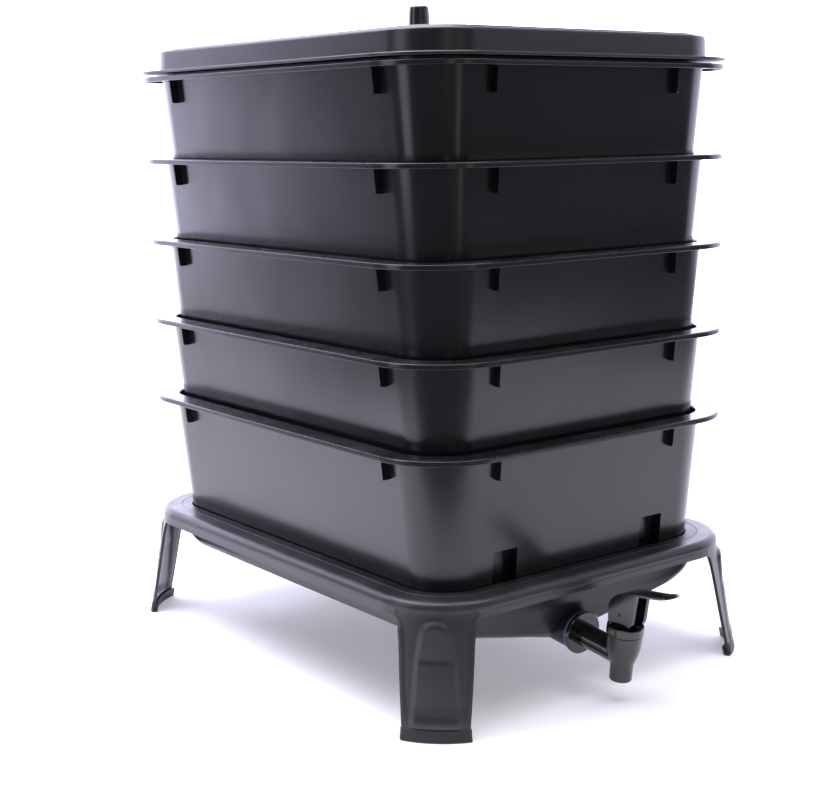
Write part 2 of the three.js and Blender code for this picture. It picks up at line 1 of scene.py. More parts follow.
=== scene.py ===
# %% [markdown]
# # A wormery, piece by piece
# A wormery is a stack of plastic trays that nest into each other. Worms turn kitchen scraps into
# compost in the trays, and liquid drips through the tray floors into a sump with a tap.
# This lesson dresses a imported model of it: each CAD piece keeps its place, and gets a finer shape
# and a finish. Sizes are in millimetres, as on a drawing, and they become metres when a mesh is made.

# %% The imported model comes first
import math

import bmesh
import bpy
from mathutils import Matrix, Vector


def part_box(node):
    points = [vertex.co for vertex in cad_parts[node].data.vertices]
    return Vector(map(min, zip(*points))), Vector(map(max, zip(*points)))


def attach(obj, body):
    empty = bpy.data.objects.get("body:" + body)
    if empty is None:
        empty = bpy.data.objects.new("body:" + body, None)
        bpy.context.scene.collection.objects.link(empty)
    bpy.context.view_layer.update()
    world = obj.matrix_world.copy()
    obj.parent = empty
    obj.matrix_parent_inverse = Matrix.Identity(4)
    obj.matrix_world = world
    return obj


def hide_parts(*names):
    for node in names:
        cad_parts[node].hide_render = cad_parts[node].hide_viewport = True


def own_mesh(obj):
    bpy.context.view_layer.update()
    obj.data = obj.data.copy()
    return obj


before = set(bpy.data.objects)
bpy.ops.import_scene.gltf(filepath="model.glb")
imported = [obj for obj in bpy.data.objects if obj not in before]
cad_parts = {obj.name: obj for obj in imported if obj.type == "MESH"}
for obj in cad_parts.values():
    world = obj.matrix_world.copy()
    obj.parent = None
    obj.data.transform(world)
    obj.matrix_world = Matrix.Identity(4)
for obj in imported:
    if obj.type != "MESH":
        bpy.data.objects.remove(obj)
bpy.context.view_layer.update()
MM = 0.001

# %% [markdown]
# The stand's own centre isn't the centre of the whole object, because the tap sticks out in front.
# The lid is centred on the stand, so its box gives that centre, and every piece is drawn round it.

# %% Where the stand's centre lies
lid_low, lid_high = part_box("lid")
MIDDLE_Y = (lid_low.y + lid_high.y) / 2


def place(x, y, z):
    """A point in millimetres from the stand's centre, as a point of the frame in metres."""
    return Vector((x * MM, y * MM + MIDDLE_Y, z * MM))


def top_of(node):
    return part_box(node)[1].z / MM


def low_of(node):
    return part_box(node)[0].z / MM


print("stand centre is", round(MIDDLE_Y / MM, 2), "mm behind the origin")

# %% [markdown]
# The camera stands where the photographer stood. Its place, turn and lens were worked out from the
# straight rims of the trays, so a piece drawn at its real size lands on the same spot of the picture.

# %% The camera at the photograph's angle
IMAGE_WIDTH = 837
IMAGE_HEIGHT = 800
FOCAL_PIXELS = 1500.8
AXIS_PIXEL = (456.17, 402.88)
CAMERA_PLACE = (-886.17, -1169.46, 497.61)
CAMERA_YAW = 51.674
CAMERA_PITCH = -10.401
CAMERA_ROLL = -0.817
SENSOR_WIDTH = 36.0


def add_camera():
    yaw, pitch, roll = (math.radians(v) for v in (CAMERA_YAW, CAMERA_PITCH, CAMERA_ROLL))
    forward = Vector((
        math.cos(yaw) * math.cos(pitch),
        math.sin(yaw) * math.cos(pitch),
        math.sin(pitch),
    ))
    right = Vector((math.sin(yaw), -math.cos(yaw), 0))
    up = right.cross(forward)
    turned_right = right * math.cos(roll) + up * math.sin(roll)
    turned_up = up * math.cos(roll) - right * math.sin(roll)
    data = bpy.data.cameras.new("camera")
    data.sensor_width = SENSOR_WIDTH
    data.lens = FOCAL_PIXELS / IMAGE_WIDTH * SENSOR_WIDTH
    data.shift_x = (IMAGE_WIDTH / 2 - AXIS_PIXEL[0]) / IMAGE_WIDTH
    data.shift_y = (AXIS_PIXEL[1] - IMAGE_HEIGHT / 2) / IMAGE_WIDTH
    data.clip_end = 20
    camera = bpy.data.objects.new("camera", data)
    axes = Matrix((turned_right, turned_up, -forward)).transposed()
    camera.matrix_world = Matrix.Translation(place(*CAMERA_PLACE)) @ axes.to_4x4()
    bpy.context.scene.collection.objects.link(camera)
    bpy.context.scene.camera = camera
    print("camera lens", round(data.lens, 1), "mm, shift", round(data.shift_x, 4), round(data.shift_y, 4))


add_camera()

# %% [markdown]
# Most pieces follow one rule: a rounded rectangle, the rim's outline, drawn smaller the deeper it
# lies inside the rim. Stacking such outlines and joining each to the next makes a smooth shell.
# Helpers for that come first, together with one that turns vertex lists into an object.

# %% Outlines and shells
RIM_HALF_X = 190.0
RIM_HALF_Y = 252.4
RIM_CORNER = 69.0
CORNER_STEPS = 18


def corner_angles(steps=CORNER_STEPS):
    return [90.0 * i / steps for i in range(steps + 1)]


def corner_point(radius, degrees, sign_x, sign_y):
    """A point on one rounded corner; degrees run from the side's direction towards the end's."""
    angle = math.radians(degrees)
    return (
        sign_x * (RIM_HALF_X - RIM_CORNER + radius * math.cos(angle)),
        sign_y * (RIM_HALF_Y - RIM_CORNER + radius * math.sin(angle)),
    )


def outline(inset, angles=None, stops=0):
    """The rim's outline, moved inwards by inset, anticlockwise, with stops on its straight sides."""
    angles = angles or corner_angles()
    corners = []
    for sign_x, sign_y in ((1, 1), (-1, 1), (-1, -1), (1, -1)):
        run = angles if sign_x * sign_y > 0 else angles[::-1]
        corners.append([corner_point(RIM_CORNER - inset, a, sign_x, sign_y) for a in run])
    points = []
    for corner, after in zip(corners, corners[1:] + corners[:1]):
        points += corner + between(corner[-1], after[0], stops)
    return points


def read_off(knots, at):
    """The value at one place of a line drawn through (place, value) knots."""
    for (low, before), (high, after) in zip(knots, knots[1:]):
        if at <= high:
            return before + (after - before) * (at - low) / (high - low)
    return knots[-1][1]


def between(first, last, stops):
    """Evenly spaced points between two points, without the two."""
    shares = [i / (stops + 1) for i in range(1, stops + 1)]
    return [tuple(a + (b - a) * share for a, b in zip(first, last)) for share in shares]


def arc(centre, radius, start, end, steps):
    """Points of an arc in a section drawing, in degrees, both ends included."""
    points = []
    for i in range(steps + 1):
        angle = math.radians(start + (end - start) * i / steps)
        points.append((centre[0] + radius * math.cos(angle), centre[1] + radius * math.sin(angle)))
    return points


print("an outline has", len(outline(0)), "points")

# %% [markdown]
# A list of points and faces is not yet a sound body: doubles are merged and every face is turned
# outwards, because a cutting tool needs a closed skin. Most shapes here are rows
# of points in which each row joins the next, so one builder serves trays, lid, sump and feet.

# %% Meshes from rows of points


def mesh_from(name, points, faces):
    mesh = bpy.data.meshes.new(name)
    mesh.from_pydata([place(*p) for p in points], [], faces)
    mesh.validate()
    outward(mesh)
    return mesh


def outward(mesh):
    """Merges doubles and points every face outwards."""
    work = bmesh.new()
    work.from_mesh(mesh)
    bmesh.ops.remove_doubles(work, verts=work.verts, dist=1e-6)
    bmesh.ops.recalc_face_normals(work, faces=work.faces)
    work.to_mesh(mesh)
    work.free()


def rows_to_faces(rows, size, loop=False):
    faces = []
    for row in range(rows if loop else rows - 1):
        following = (row + 1) % rows
        for i in range(size):
            j = (i + 1) % size
            faces.append((row * size + i, row * size + j, following * size + j, following * size + i))
    return faces


def stack_mesh(name, rows):
    """A closed skin: each row of points joins the next, and the first and last are capped."""
    size = len(rows[0])
    faces = rows_to_faces(len(rows), size)
    faces += [tuple(range(size))[::-1], tuple(range((len(rows) - 1) * size, len(rows) * size))]
    return mesh_from(name, [p for row in rows for p in row], faces)


def shell_mesh(name, section, stops=0):
    """A shell from a section: each (inset, z) becomes one outline."""
    return stack_mesh(name, [[(x, y, z) for x, y in outline(inset, stops=stops)] for inset, z in section])


def turned_mesh(name, section, centre_y, steps):
    """A turned solid: (radius, z) points spun round an upright axis at (0, centre_y)."""
    points, faces = [], []
    for radius, z in section:
        for i in range(steps):
            angle = 2 * math.pi * i / steps
            points.append((radius * math.cos(angle), centre_y + radius * math.sin(angle), z))
    closed = section[0][0] > 0 and section[-1][0] > 0
    faces = rows_to_faces(len(section), steps, loop=closed)
    return mesh_from(name, points, faces)


def prism_mesh(name, section, half):
    """A flat plate: a section of (y, z) points, as thick as two halves along X."""
    return stack_mesh(name, [[(x, y, z) for y, z in section] for x in (-half, half)])


print("mesh builders are ready")

# %% [markdown]
# A piece is a mesh with smooth curves and crisp flat faces. Its modifiers are baked into the mesh,
# then it rides on the body that carries it, gets its finish, and stands in for its CAD node.

# %% From a mesh to a dressed piece


def piece_from(name, mesh, sharp_degrees=34.0):
    """An object whose flat faces stay flat and whose curves shade smoothly."""
    mesh.polygons.foreach_set("use_smooth", [True] * len(mesh.polygons))
    mesh.set_sharp_from_angle(angle=math.radians(sharp_degrees))
    obj = bpy.data.objects.new(name, mesh)
    bpy.context.scene.collection.objects.link(obj)
    weigh = obj.modifiers.new("flat faces lead", "WEIGHTED_NORMAL")
    weigh.keep_sharp = True
    weigh.weight = 100
    return bake_modifiers(obj)


def bake_modifiers(obj):
    """Turns what the modifiers show into the object's plain mesh, and removes them."""
    bpy.context.view_layer.update()
    graph = bpy.context.evaluated_depsgraph_get()
    mesh = bpy.data.meshes.new_from_object(obj.evaluated_get(graph), depsgraph=graph)
    obj.modifiers.clear()
    old = obj.data
    obj.data = mesh
    mesh.name = obj.name
    if old.users == 0:
        bpy.data.meshes.remove(old)
    return obj


def dress(obj, body, slot, material, *nodes):
    """Says which body carries a piece, which finish it has, and which CAD nodes it stands for."""
    obj.data.materials.clear()
    obj.data.materials.append(material)
    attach(obj, body)
    if nodes:
        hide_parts(*nodes)
    print(f"{obj.name}: {len(obj.data.polygons)} faces on {body}")
    return obj


# %% [markdown]
# ## Small node trees in code
# Gussets, lugs, floor slots and the spring's coils repeat or follow a rule, so Geometry Nodes make
# them. A tree is easier to read in a script when one helper adds a node and wires it in one go.

# %% Helpers for node trees


def feed(tree, socket, value):
    """Links another node's socket, or sets a plain value."""
    if hasattr(value, "is_output"):
        tree.links.new(value, socket)
    else:
        socket.default_value = value


def add_node(tree, kind, settings=None, **inputs):
    """Adds a node. Inputs are given by socket name, as values or as other nodes' sockets."""
    node = tree.nodes.new(kind)
    for key, value in (settings or {}).items():
        setattr(node, key, value)
    for key, value in inputs.items():
        name = key.replace("_", " ")
        feed(tree, next(s for s in node.inputs if s.name == name and s.enabled), value)
    return node


def math_node(tree, operation, *values):
    node = tree.nodes.new("ShaderNodeMath")
    node.operation = operation
    for socket, value in zip(node.inputs, values):
        feed(tree, socket, value)
    return node.outputs[0]


def new_geometry_tree(name, inputs):
    """A Geometry Nodes tree with named inputs; returns the tree, its input node and its output node."""
    tree = bpy.data.node_groups.new(name, "GeometryNodeTree")
    tree.interface.new_socket("Geometry", in_out="INPUT", socket_type="NodeSocketGeometry")
    for label, kind in inputs:
        tree.interface.new_socket(label, in_out="INPUT", socket_type=kind)
    tree.interface.new_socket("Geometry", in_out="OUTPUT", socket_type="NodeSocketGeometry")
    return tree, tree.nodes.new("NodeGroupInput"), tree.nodes.new("NodeGroupOutput")


def run_tree(obj, tree, values):
    """Runs a tree on an object, its inputs set by identifier, and keeps a plain mesh."""
    modifier = obj.modifiers.new(tree.name, "NODES")
    modifier.node_group = tree
    for item in tree.interface.items_tree:
        if item.item_type == "SOCKET" and item.in_out == "INPUT" and item.name in values:
            modifier[item.identifier] = values[item.name]
    return bake_modifiers(obj)


def hidden_tool(name, mesh):
    """A mesh object that only feeds a tree, and is removed after it."""
    obj = bpy.data.objects.new(name, mesh)
    bpy.context.scene.collection.objects.link(obj)
    return obj


def discard(*objects):
    for obj in objects:
        mesh = obj.data
        bpy.data.objects.remove(obj)
        bpy.data.meshes.remove(mesh)


print("node helpers are ready")

# %% [markdown]
# ## The trays
# Each tray is one injection moulding: a tub that narrows downwards, so that it nests, and a flat
# flange whose edge turns down into a lip. One section line, rounded where the mould is rounded,
# makes the whole tub. It is drawn once, with its rim at height zero, and used for all five.

# %% The tub of a tray
TRAY_HIGH = 126.0
TRAY_WALL = 2.5
TRAY_FLOOR = 2.6
WALL_INSET = 19.0
WALL_DRAFT = 0.095
FLANGE_THICK = 2.5
LIP_DROP = 4.7
LIP_THICK = 2.2
WALL_ROWS = 9
WALL_STOPS = 10
SOLVER = "MANIFOLD"


def wall_at(depth):
    """How far the tub's outer wall lies inside the rim, at a depth below the rim."""
    return WALL_INSET + WALL_DRAFT * depth


def tray_section():
    flange_low = -FLANGE_THICK
    root, edge, lip_round, foot_round, top_round = 1.5, 1.4, 0.6, 3.0, 1.2
    wall_top = wall_at(FLANGE_THICK)
    inner_top = WALL_INSET + TRAY_WALL
    floor = -TRAY_HIGH + TRAY_FLOOR
    outer_low = wall_at(TRAY_HIGH - foot_round)
    inner_low = wall_at(TRAY_HIGH - TRAY_FLOOR - foot_round) + TRAY_WALL
    section = arc((outer_low + foot_round, foot_round - TRAY_HIGH), foot_round, 270, 180, 5)
    section += between(section[-1], (wall_top, flange_low - root), WALL_ROWS)
    section += arc((wall_top - root, flange_low - root), root, 0, 90, 4)
    section += arc((LIP_THICK + lip_round, flange_low - lip_round), lip_round, 90, 180, 3)
    section += arc((LIP_THICK - lip_round, lip_round - LIP_DROP), lip_round, 0, -90, 3)
    section += arc((lip_round, lip_round - LIP_DROP), lip_round, 270, 180, 3)
    section += arc((edge, -edge), edge, 180, 90, 5)
    section += arc((inner_top - top_round, -top_round), top_round, 90, 0, 4)
    section += between(section[-1], (inner_low, floor + foot_round), WALL_ROWS)
    section += arc((inner_low + foot_round, floor + foot_round), foot_round, 180, 270, 5)
    return section


tray_tub = hidden_tool("tray tub", shell_mesh("tray tub", tray_section(), stops=WALL_STOPS))
print("the tub has", len(tray_tub.data.polygons), "faces")

# %% [markdown]
# Under the flange stand eight thin gussets. The end walls have two niches each, pushed in low down,
# and two lugs each, high up inside: a niche's roof rests on the lug of the tray below. The floor
# has rows of slots. Each shape is modelled once as a small tool, facing the far end wall.

# %% One gusset, niche, lug and slot
GUSSET_THICK = 2.3
GUSSET_REACH = 7.2
GUSSET_DROP = 25.5
NICHE_WIDE = 27.0
NICHE_DEEP = 12.0
NICHE_ROOF = 90.4
LUG_WIDE = 24.0
LUG_DEEP = 13.5
TRAY_PITCH = 79.0
SLOT_WIDE = 10.0
SLOT_LONG = 30.0
BITE = 0.8


def tool_prism(name, section, half):
    """A plate whose section is given as (inset, z), standing on the far end wall."""
    mesh = prism_mesh(name, [(-inset, z) for inset, z in section], half)
    mesh.transform(Matrix.Translation(-place(0, 0, 0)))
    return hidden_tool(name, mesh)


def gusset_section():
    reach = WALL_INSET - GUSSET_REACH
    drift = WALL_DRAFT * GUSSET_DROP
    return [
        (reach, BITE - FLANGE_THICK),
        (reach + drift, 0.8 - GUSSET_DROP),
        (reach + drift + 0.8, -GUSSET_DROP),
        (WALL_INSET + drift + BITE, -GUSSET_DROP),
        (WALL_INSET + BITE, BITE - FLANGE_THICK),
    ]


def niche_section(wall):
    back = wall_at(NICHE_ROOF) + NICHE_DEEP + wall
    roof = wall - NICHE_ROOF
    low = -TRAY_HIGH if wall else -TRAY_HIGH - 1
    front_low = wall_at(TRAY_HIGH) + BITE if wall else WALL_INSET
    front_high = wall_at(NICHE_ROOF) + BITE if wall else WALL_INSET
    corner = 1.6
    return [(front_low, low), (back, low)] + arc((back - corner, roof - corner), corner, 0, 90, 4) \
        + [(front_high, roof)]


def lug_section():
    top = TRAY_PITCH - NICHE_ROOF
    face = wall_at(-top) + TRAY_WALL
    nose = 1.0
    return [
        (face - BITE, top),
        (wall_at(21 - top) + TRAY_WALL - BITE, top - 21),
        (face + LUG_DEEP, top - 3),
    ] + arc((face + LUG_DEEP - nose, top - nose), nose, 0, 90, 4)


def slot_mesh():
    corner = 3.0
    half_x, half_y = SLOT_WIDE / 2 - corner, SLOT_LONG / 2 - corner
    ring = arc((half_x, half_y), corner, 0, 90, 4) + arc((-half_x, half_y), corner, 90, 180, 4) \
        + arc((-half_x, -half_y), corner, 180, 270, 4) + arc((half_x, -half_y), corner, 270, 360, 4)
    heights = (-TRAY_HIGH - 1, TRAY_FLOOR - TRAY_HIGH + 1)
    mesh = stack_mesh("slot", [[(x, y, z) for x, y in ring] for z in heights])
    mesh.transform(Matrix.Translation(-place(0, 0, 0)))
    return mesh


gusset_tool = tool_prism("gusset", gusset_section(), GUSSET_THICK / 2)
niche_wall_tool = tool_prism("niche wall", niche_section(TRAY_WALL), NICHE_WIDE / 2 + TRAY_WALL)
niche_room_tool = tool_prism("niche room", niche_section(0.0), NICHE_WIDE / 2)
lug_tool = tool_prism("lug", lug_section(), LUG_WIDE / 2)
slot_tool = hidden_tool("slot", slot_mesh())
print("five tools for the tray are ready")

# %% [markdown]
# The tree puts a tool on each point of a small grid. A two by two grid gives the four places on
# the end walls, and another gives the four places on the long walls. Booleans then join what is
# solid and cut what is open, so that the tray ends as one closed skin.

# %% The tree that fits out a tray


def grid_points(tree, size_x, size_y, centre_y, count_x=2, count_y=2):
    grid = add_node(tree, "GeometryNodeMeshGrid", Size_X=size_x, Size_Y=size_y,
                    Vertices_X=count_x, Vertices_Y=count_y)
    shift = add_node(tree, "ShaderNodeCombineXYZ", Y=centre_y)
    moved = add_node(tree, "GeometryNodeTransform", Geometry=grid.outputs["Mesh"],
                     Translation=shift.outputs[0])
    return moved.outputs[0]


def instances(tree, points, tool, angle=None):
    info = add_node(tree, "GeometryNodeObjectInfo", Object=tool)
    node = add_node(tree, "GeometryNodeInstanceOnPoints", Points=points,
                    Instance=info.outputs["Geometry"])
    if angle is not None:
        turn = add_node(tree, "ShaderNodeCombineXYZ", Z=angle)
        tree.links.new(turn.outputs[0], node.inputs["Rotation"])
    return add_node(tree, "GeometryNodeRealizeInstances", Geometry=node.outputs[0]).outputs[0]


def tree_boolean(tree, operation, parts):
    """Joins all parts, or cuts the later ones out of the first."""
    node = tree.nodes.new("GeometryNodeMeshBoolean")
    node.operation = operation
    node.solver = SOLVER
    for i, part in enumerate(parts):
        cut_from = operation == "DIFFERENCE" and i == 0
        tree.links.new(part, node.inputs["Mesh 1" if cut_from else "Mesh 2"])
    return node.outputs["Mesh"]


print("tree parts: a grid of points, tools on points, and booleans")

# %% [markdown]
# Here the parts come together. The number of slots, their pitch, and where gussets and niches
# stand are named inputs, so the same tree would fit out a tray of another size.

# %% The whole tree, and a tray run through it


def tray_tree():
    labels = ["Half X", "Half Y", "Centre Y", "Gusset Along X", "Gusset Along Y", "Niche Along X",
              "Slot Pitch X", "Slot Pitch Y"]
    tools = ["Gusset", "Niche Wall", "Niche Room", "Lug", "Slot"]
    sockets = [(label, "NodeSocketFloat") for label in labels]
    sockets += [(label, "NodeSocketObject") for label in tools]
    sockets += [("Slot Columns", "NodeSocketInt"), ("Slot Rows", "NodeSocketInt")]
    tree, start, end = new_geometry_tree("tray fittings", sockets)
    given = start.outputs
    centre = given["Centre Y"]

    def twice(label):
        return math_node(tree, "MULTIPLY", given[label], 2)

    full_x, full_y = twice("Half X"), twice("Half Y")
    position = add_node(tree, "GeometryNodeInputPosition").outputs[0]
    place_xyz = add_node(tree, "ShaderNodeSeparateXYZ", Vector=position)
    front = math_node(tree, "LESS_THAN", place_xyz.outputs["Y"], centre)
    end_turn = math_node(tree, "MULTIPLY", front, math.pi)
    side = math_node(tree, "SIGN", place_xyz.outputs["X"])
    side_turn = math_node(tree, "MULTIPLY", side, -math.pi / 2)
    end_grid = grid_points(tree, twice("Gusset Along X"), full_y, centre)
    side_grid = grid_points(tree, full_x, twice("Gusset Along Y"), centre)
    niche_grid = grid_points(tree, twice("Niche Along X"), full_y, centre)
    columns = math_node(tree, "SUBTRACT", given["Slot Columns"], 1)
    rows = math_node(tree, "SUBTRACT", given["Slot Rows"], 1)
    slot_grid = grid_points(
        tree,
        math_node(tree, "MULTIPLY", given["Slot Pitch X"], columns),
        math_node(tree, "MULTIPLY", given["Slot Pitch Y"], rows),
        centre, given["Slot Columns"], given["Slot Rows"],
    )
    joined = tree_boolean(tree, "UNION", [
        given["Geometry"],
        instances(tree, end_grid, given["Gusset"], end_turn),
        instances(tree, side_grid, given["Gusset"], side_turn),
        instances(tree, niche_grid, given["Niche Wall"], end_turn),
        instances(tree, niche_grid, given["Lug"], end_turn),
    ])
    cut = tree_boolean(tree, "DIFFERENCE", [
        joined,
        instances(tree, niche_grid, given["Niche Room"], end_turn),
        instances(tree, slot_grid, given["Slot"]),
    ])
    real = add_node(tree, "GeometryNodeRealizeInstances", Geometry=cut)
    painted = add_node(tree, "GeometryNodeSetMaterial", Geometry=real.outputs[0])
    tree.links.new(painted.outputs[0], end.inputs["Geometry"])
    return tree


def fitted_tray():
    run_tree(tray_tub, tray_tree(), {
        "Half X": RIM_HALF_X * MM, "Half Y": RIM_HALF_Y * MM, "Centre Y": MIDDLE_Y,
        "Gusset Along X": 103 * MM, "Gusset Along Y": 169 * MM, "Niche Along X": 88 * MM,
        "Slot Pitch X": 56 * MM, "Slot Pitch Y": 52 * MM, "Slot Columns": 4, "Slot Rows": 7,
        "Gusset": gusset_tool, "Niche Wall": niche_wall_tool, "Niche Room": niche_room_tool,
        "Lug": lug_tool, "Slot": slot_tool,
    })
    return tray_tub.data


tray_mesh = fitted_tray()
print("a fitted tray has", len(tray_mesh.polygons), "faces")

# %% [markdown]
# ## The lid and its knob
# The lid is a second section line of the same kind. Its skirt goes down inside the top tray and
# rests on that tray's lugs, so a dark line shows between the lid's flange and the tray's rim.

# %% The lid
LID_THICK = 2.5
LID_BODY_INSET = 17.5
LID_OVER = 0.8
LID_SKIRT_INSET = 24.6
LID_PLATEAU_RISE = 2.0


def lid_section():
    summit = top_of("lid")
    skirt_low = low_of("lid")
    top = summit - LID_PLATEAU_RISE
    flange_low = top - 22.3
    flange_top = flange_low + LID_THICK
    edge, shoulder, root, tip = 0.9, 3.0, 2.2, 0.8
    plateau = [
        (LID_BODY_INSET + 12 - 4 * share, top + LID_PLATEAU_RISE * (1 + math.cos(math.pi * share)) / 2)
        for share in (0, 0.15, 0.3, 0.45, 0.6, 0.75, 0.9, 1)
    ]
    section = plateau
    section += arc((LID_BODY_INSET + shoulder, top - shoulder), shoulder, 90, 180, 7)
    section += arc((LID_BODY_INSET - 0.5 - root, flange_top + root), root, 0, -90, 5)
    section += arc((edge - LID_OVER, flange_top - edge), edge, 90, 180, 5)
    section += [(-LID_OVER, flange_low + 0.3), (0.3 - LID_OVER, flange_low)]
    section += [(LID_SKIRT_INSET, flange_low)]
    section += arc((LID_SKIRT_INSET + tip, skirt_low + tip), tip, 180, 270, 3)
    section += arc((LID_SKIRT_INSET + LID_THICK - tip, skirt_low + tip), tip, 270, 360, 3)
    inner = LID_BODY_INSET + LID_THICK
    section += [(LID_SKIRT_INSET + LID_THICK, flange_top), (inner, flange_top)]
    section += arc((inner + shoulder, top - LID_THICK - shoulder + 1), shoulder, 180, 90, 5)
    section += [(inner + 6.5, top - LID_THICK), (inner + 11, summit - LID_THICK)]
    return section


SCREW_HOLE = 2.3


def lid_hole_tool():
    low, high = top_of("lid") - 9, top_of("lid") + 2
    section = [(0, low), (SCREW_HOLE, low), (SCREW_HOLE, high), (0, high)]
    return hidden_tool("lid hole", turned_mesh("lid hole", section, 0, 32))


def boolean(obj, operation, *tools):
    """Joins or cuts with exact booleans, then removes the tools."""
    for tool in tools:
        modifier = obj.modifiers.new(operation.lower(), "BOOLEAN")
        modifier.operation = operation
        modifier.solver = SOLVER
        modifier.object = tool
    bake_modifiers(obj)
    discard(*tools)
    return obj


lid_shell = hidden_tool("lid shell", shell_mesh("lid shell", lid_section()))
boolean(lid_shell, "DIFFERENCE", lid_hole_tool())
print("the lid has", len(lid_shell.data.polygons), "faces")

# %% [markdown]
# The knob is turned: a short section line spun round an upright axis. Its foot spreads out on the
# lid, its waist is narrow, and its top is flat with a soft edge.

# %% The knob, its washer and its screw


def knob_section():
    low = low_of("lid_knob")
    top = top_of("lid_knob")
    foot, waist, crown = 17.0, 10.5, 9.6
    flare = [
        (waist + (foot - 0.6 - waist) * (1 - math.sin(math.pi / 2 * i / 10)) ** 1.25,
         low + 1.6 + 13.6 * i / 10)
        for i in range(10)
    ]
    section = [(SCREW_HOLE, low), (foot - 0.5, low)]
    section += arc((foot - 0.8, low + 0.8), 0.8, -60, 80, 4) + flare
    section += [(waist - 0.05, low + 16), (waist - 0.3, low + 21), (crown + 0.1, top - 3.2)]
    section += arc((crown - 2.4, top - 2.4), 2.4, 0, 84, 7)
    return section + [(crown - 5, top - 0.05), (0, top), (0, low + 14.3), (SCREW_HOLE, low + 14.3)]


def washer_section():
    low, top = low_of("knob_washer"), top_of("knob_washer")
    return [(2.3, low), (8.8, low), (9.0, low + 0.2), (9.0, top - 0.2), (8.8, top), (2.3, top)]


def screw_section():
    low, top = low_of("knob_screw"), top_of("knob_screw")
    head = low + 3.0
    return [(0, low + 1.4), (2.0, low + 1.4), (2.2, low + 0.2), (2.6, low), (4.1, low)] \
        + arc((3.9, low + 0.7), 0.7, -60, 0, 3) + [(4.6, head), (2.0, head), (2.0, top - 2), (0, top)]


print("knob section has", len(knob_section()), "points")

# %% [markdown]
# ## The stand
# The stand is one moulding as well: a ring with a round shoulder and a low band round its side, and
# four legs that flow out of its corners. A leg is a thin curved wall, so the mesh is drawn as
# columns round the outline: every column has the ring's section, and the columns of a leg go on
# downwards, outside and inside, drawing together towards the foot. A raised rib runs down each leg.
# Its domed top begins on the ring's side, so there a leg's columns follow the leg's own face.

# %% A leg's face and its rib
RING_OVER = 1.0
SKIRT_DROP = 14.4
STAND_WALL = 2.8
LEG_WALL = 3.0
LEG_HALF_TOP = 33.0
LEG_HALVES = [(0, 19.0), (3, 19.2), (40, 22.4), (80, 25.8), (90, 27.3)]
LEG_FILLET = 10.0
LEG_COLUMNS = 48
LEG_ROWS = 64
LEG_END = 3.0
SHOULDER = 7.0
BAND_HIGH = 5.2
BAND_PROUD = 0.8
DOME_TOP = 101.5
SIDE_ROWS = 7
STAND_LOW = top_of("base_stand") - SKIRT_DROP


def leg_half(z):
    """Half the angle that a leg spans at height z."""
    neck_z, neck = LEG_HALVES[-1]
    share = ramp((z - neck_z) / LEG_FILLET)
    return read_off(LEG_HALVES, z) + (LEG_HALF_TOP - neck) * (1 - math.sqrt(1 - share * share))


def leg_flare(z):
    """How far a leg's outer face stands outside the skirt at height z."""
    drop = max(106 - z, 0)
    return 0.169 * (math.hypot(drop, 6) - 6)


def ramp(value):
    return min(max(value, 0), 1)


def smooth(value):
    value = ramp(value)
    return value * value * (3 - 2 * value)


def rib_rise(z, off):
    """How proud the rib stands, off degrees from the leg's middle."""
    half = 9.0 + 3.4 * ramp((97 - z) / 30) + 1.4 * ramp((66 - z) / 50)
    across = smooth((half + 2.4 - abs(off)) / 4.6)
    dome = DOME_TOP - 6.5 * ramp(abs(off) / 10.4) ** 2
    along = smooth((dome - z) / 7.0)
    upper = 3.3 - 2.0 * ramp((93 - z) / 27)
    step_one = 0.5 * smooth((66.5 - z) / 2.2)
    fade = 0.75 * ramp((64 - z) / 44)
    step_two = 0.45 * smooth((20.5 - z) / 1.8)
    above_foot = smooth((z - 10.4) / 2.6)
    return across * along * above_foot * (upper + step_one - fade + step_two)


def leg_level(z, share):
    """How far a leg's outer face stands outside the rim's outline, without its rib."""
    border = smooth((abs(share) - 0.84) / 0.08) * smooth((STAND_LOW + BAND_HIGH + 0.4 - z) / 0.8)
    whole = smooth((1 - abs(share)) / 0.2)
    spread = whole + (1 - whole) * smooth((STAND_LOW - z) / 12)
    sunk = BAND_PROUD * (1 - border) * smooth((z - 12) / 20)
    return RING_OVER - sunk + leg_flare(z) * spread


print("a leg spans", round(2 * leg_half(0), 1), "degrees at its foot,", 2 * LEG_HALF_TOP, "at the ring")

# %% [markdown]
# The ring's section starts at the foot of its side, goes up over the low band, round the shoulder,
# down into the rebate that holds the sump, and back along the inside.

# %% The ring's section


def ring_section():
    top = top_of("base_stand")
    low = top - SKIRT_DROP
    under = top - STAND_WALL
    rebate, opening, ledge = 18.2, 23.4, top - 2.4
    inner = STAND_WALL - RING_OVER
    upper = BAND_PROUD - RING_OVER
    section = [(-RING_OVER, low + BAND_HIGH * i / 4 - (0.4 if i == 4 else 0)) for i in range(5)]
    section += [(upper, low + BAND_HIGH + 0.4), (upper, low + 6.6)]
    section += arc((upper + SHOULDER, top - SHOULDER), SHOULDER, 180, 90, 12)
    section += [(rebate - 0.1, top), (rebate, top - 0.1)]
    section += [(rebate, ledge), (opening - 0.4, ledge), (opening, ledge - 0.4)]
    section += [(opening, ledge - STAND_WALL), (rebate - STAND_WALL, ledge - STAND_WALL)]
    section += [(rebate - STAND_WALL, under), (inner + 5, under), (inner, under - 5), (inner, low)]
    return section


def stand_angles():
    start, stop = 45 - LEG_HALF_TOP, 45 + LEG_HALF_TOP
    lead = [start * i / 4 for i in range(4)]
    span = [start + (stop - start) * i / LEG_COLUMNS for i in range(LEG_COLUMNS + 1)]
    return lead + span + [90 - a for a in lead[::-1]]


print("the ring's section has", len(ring_section()), "points")

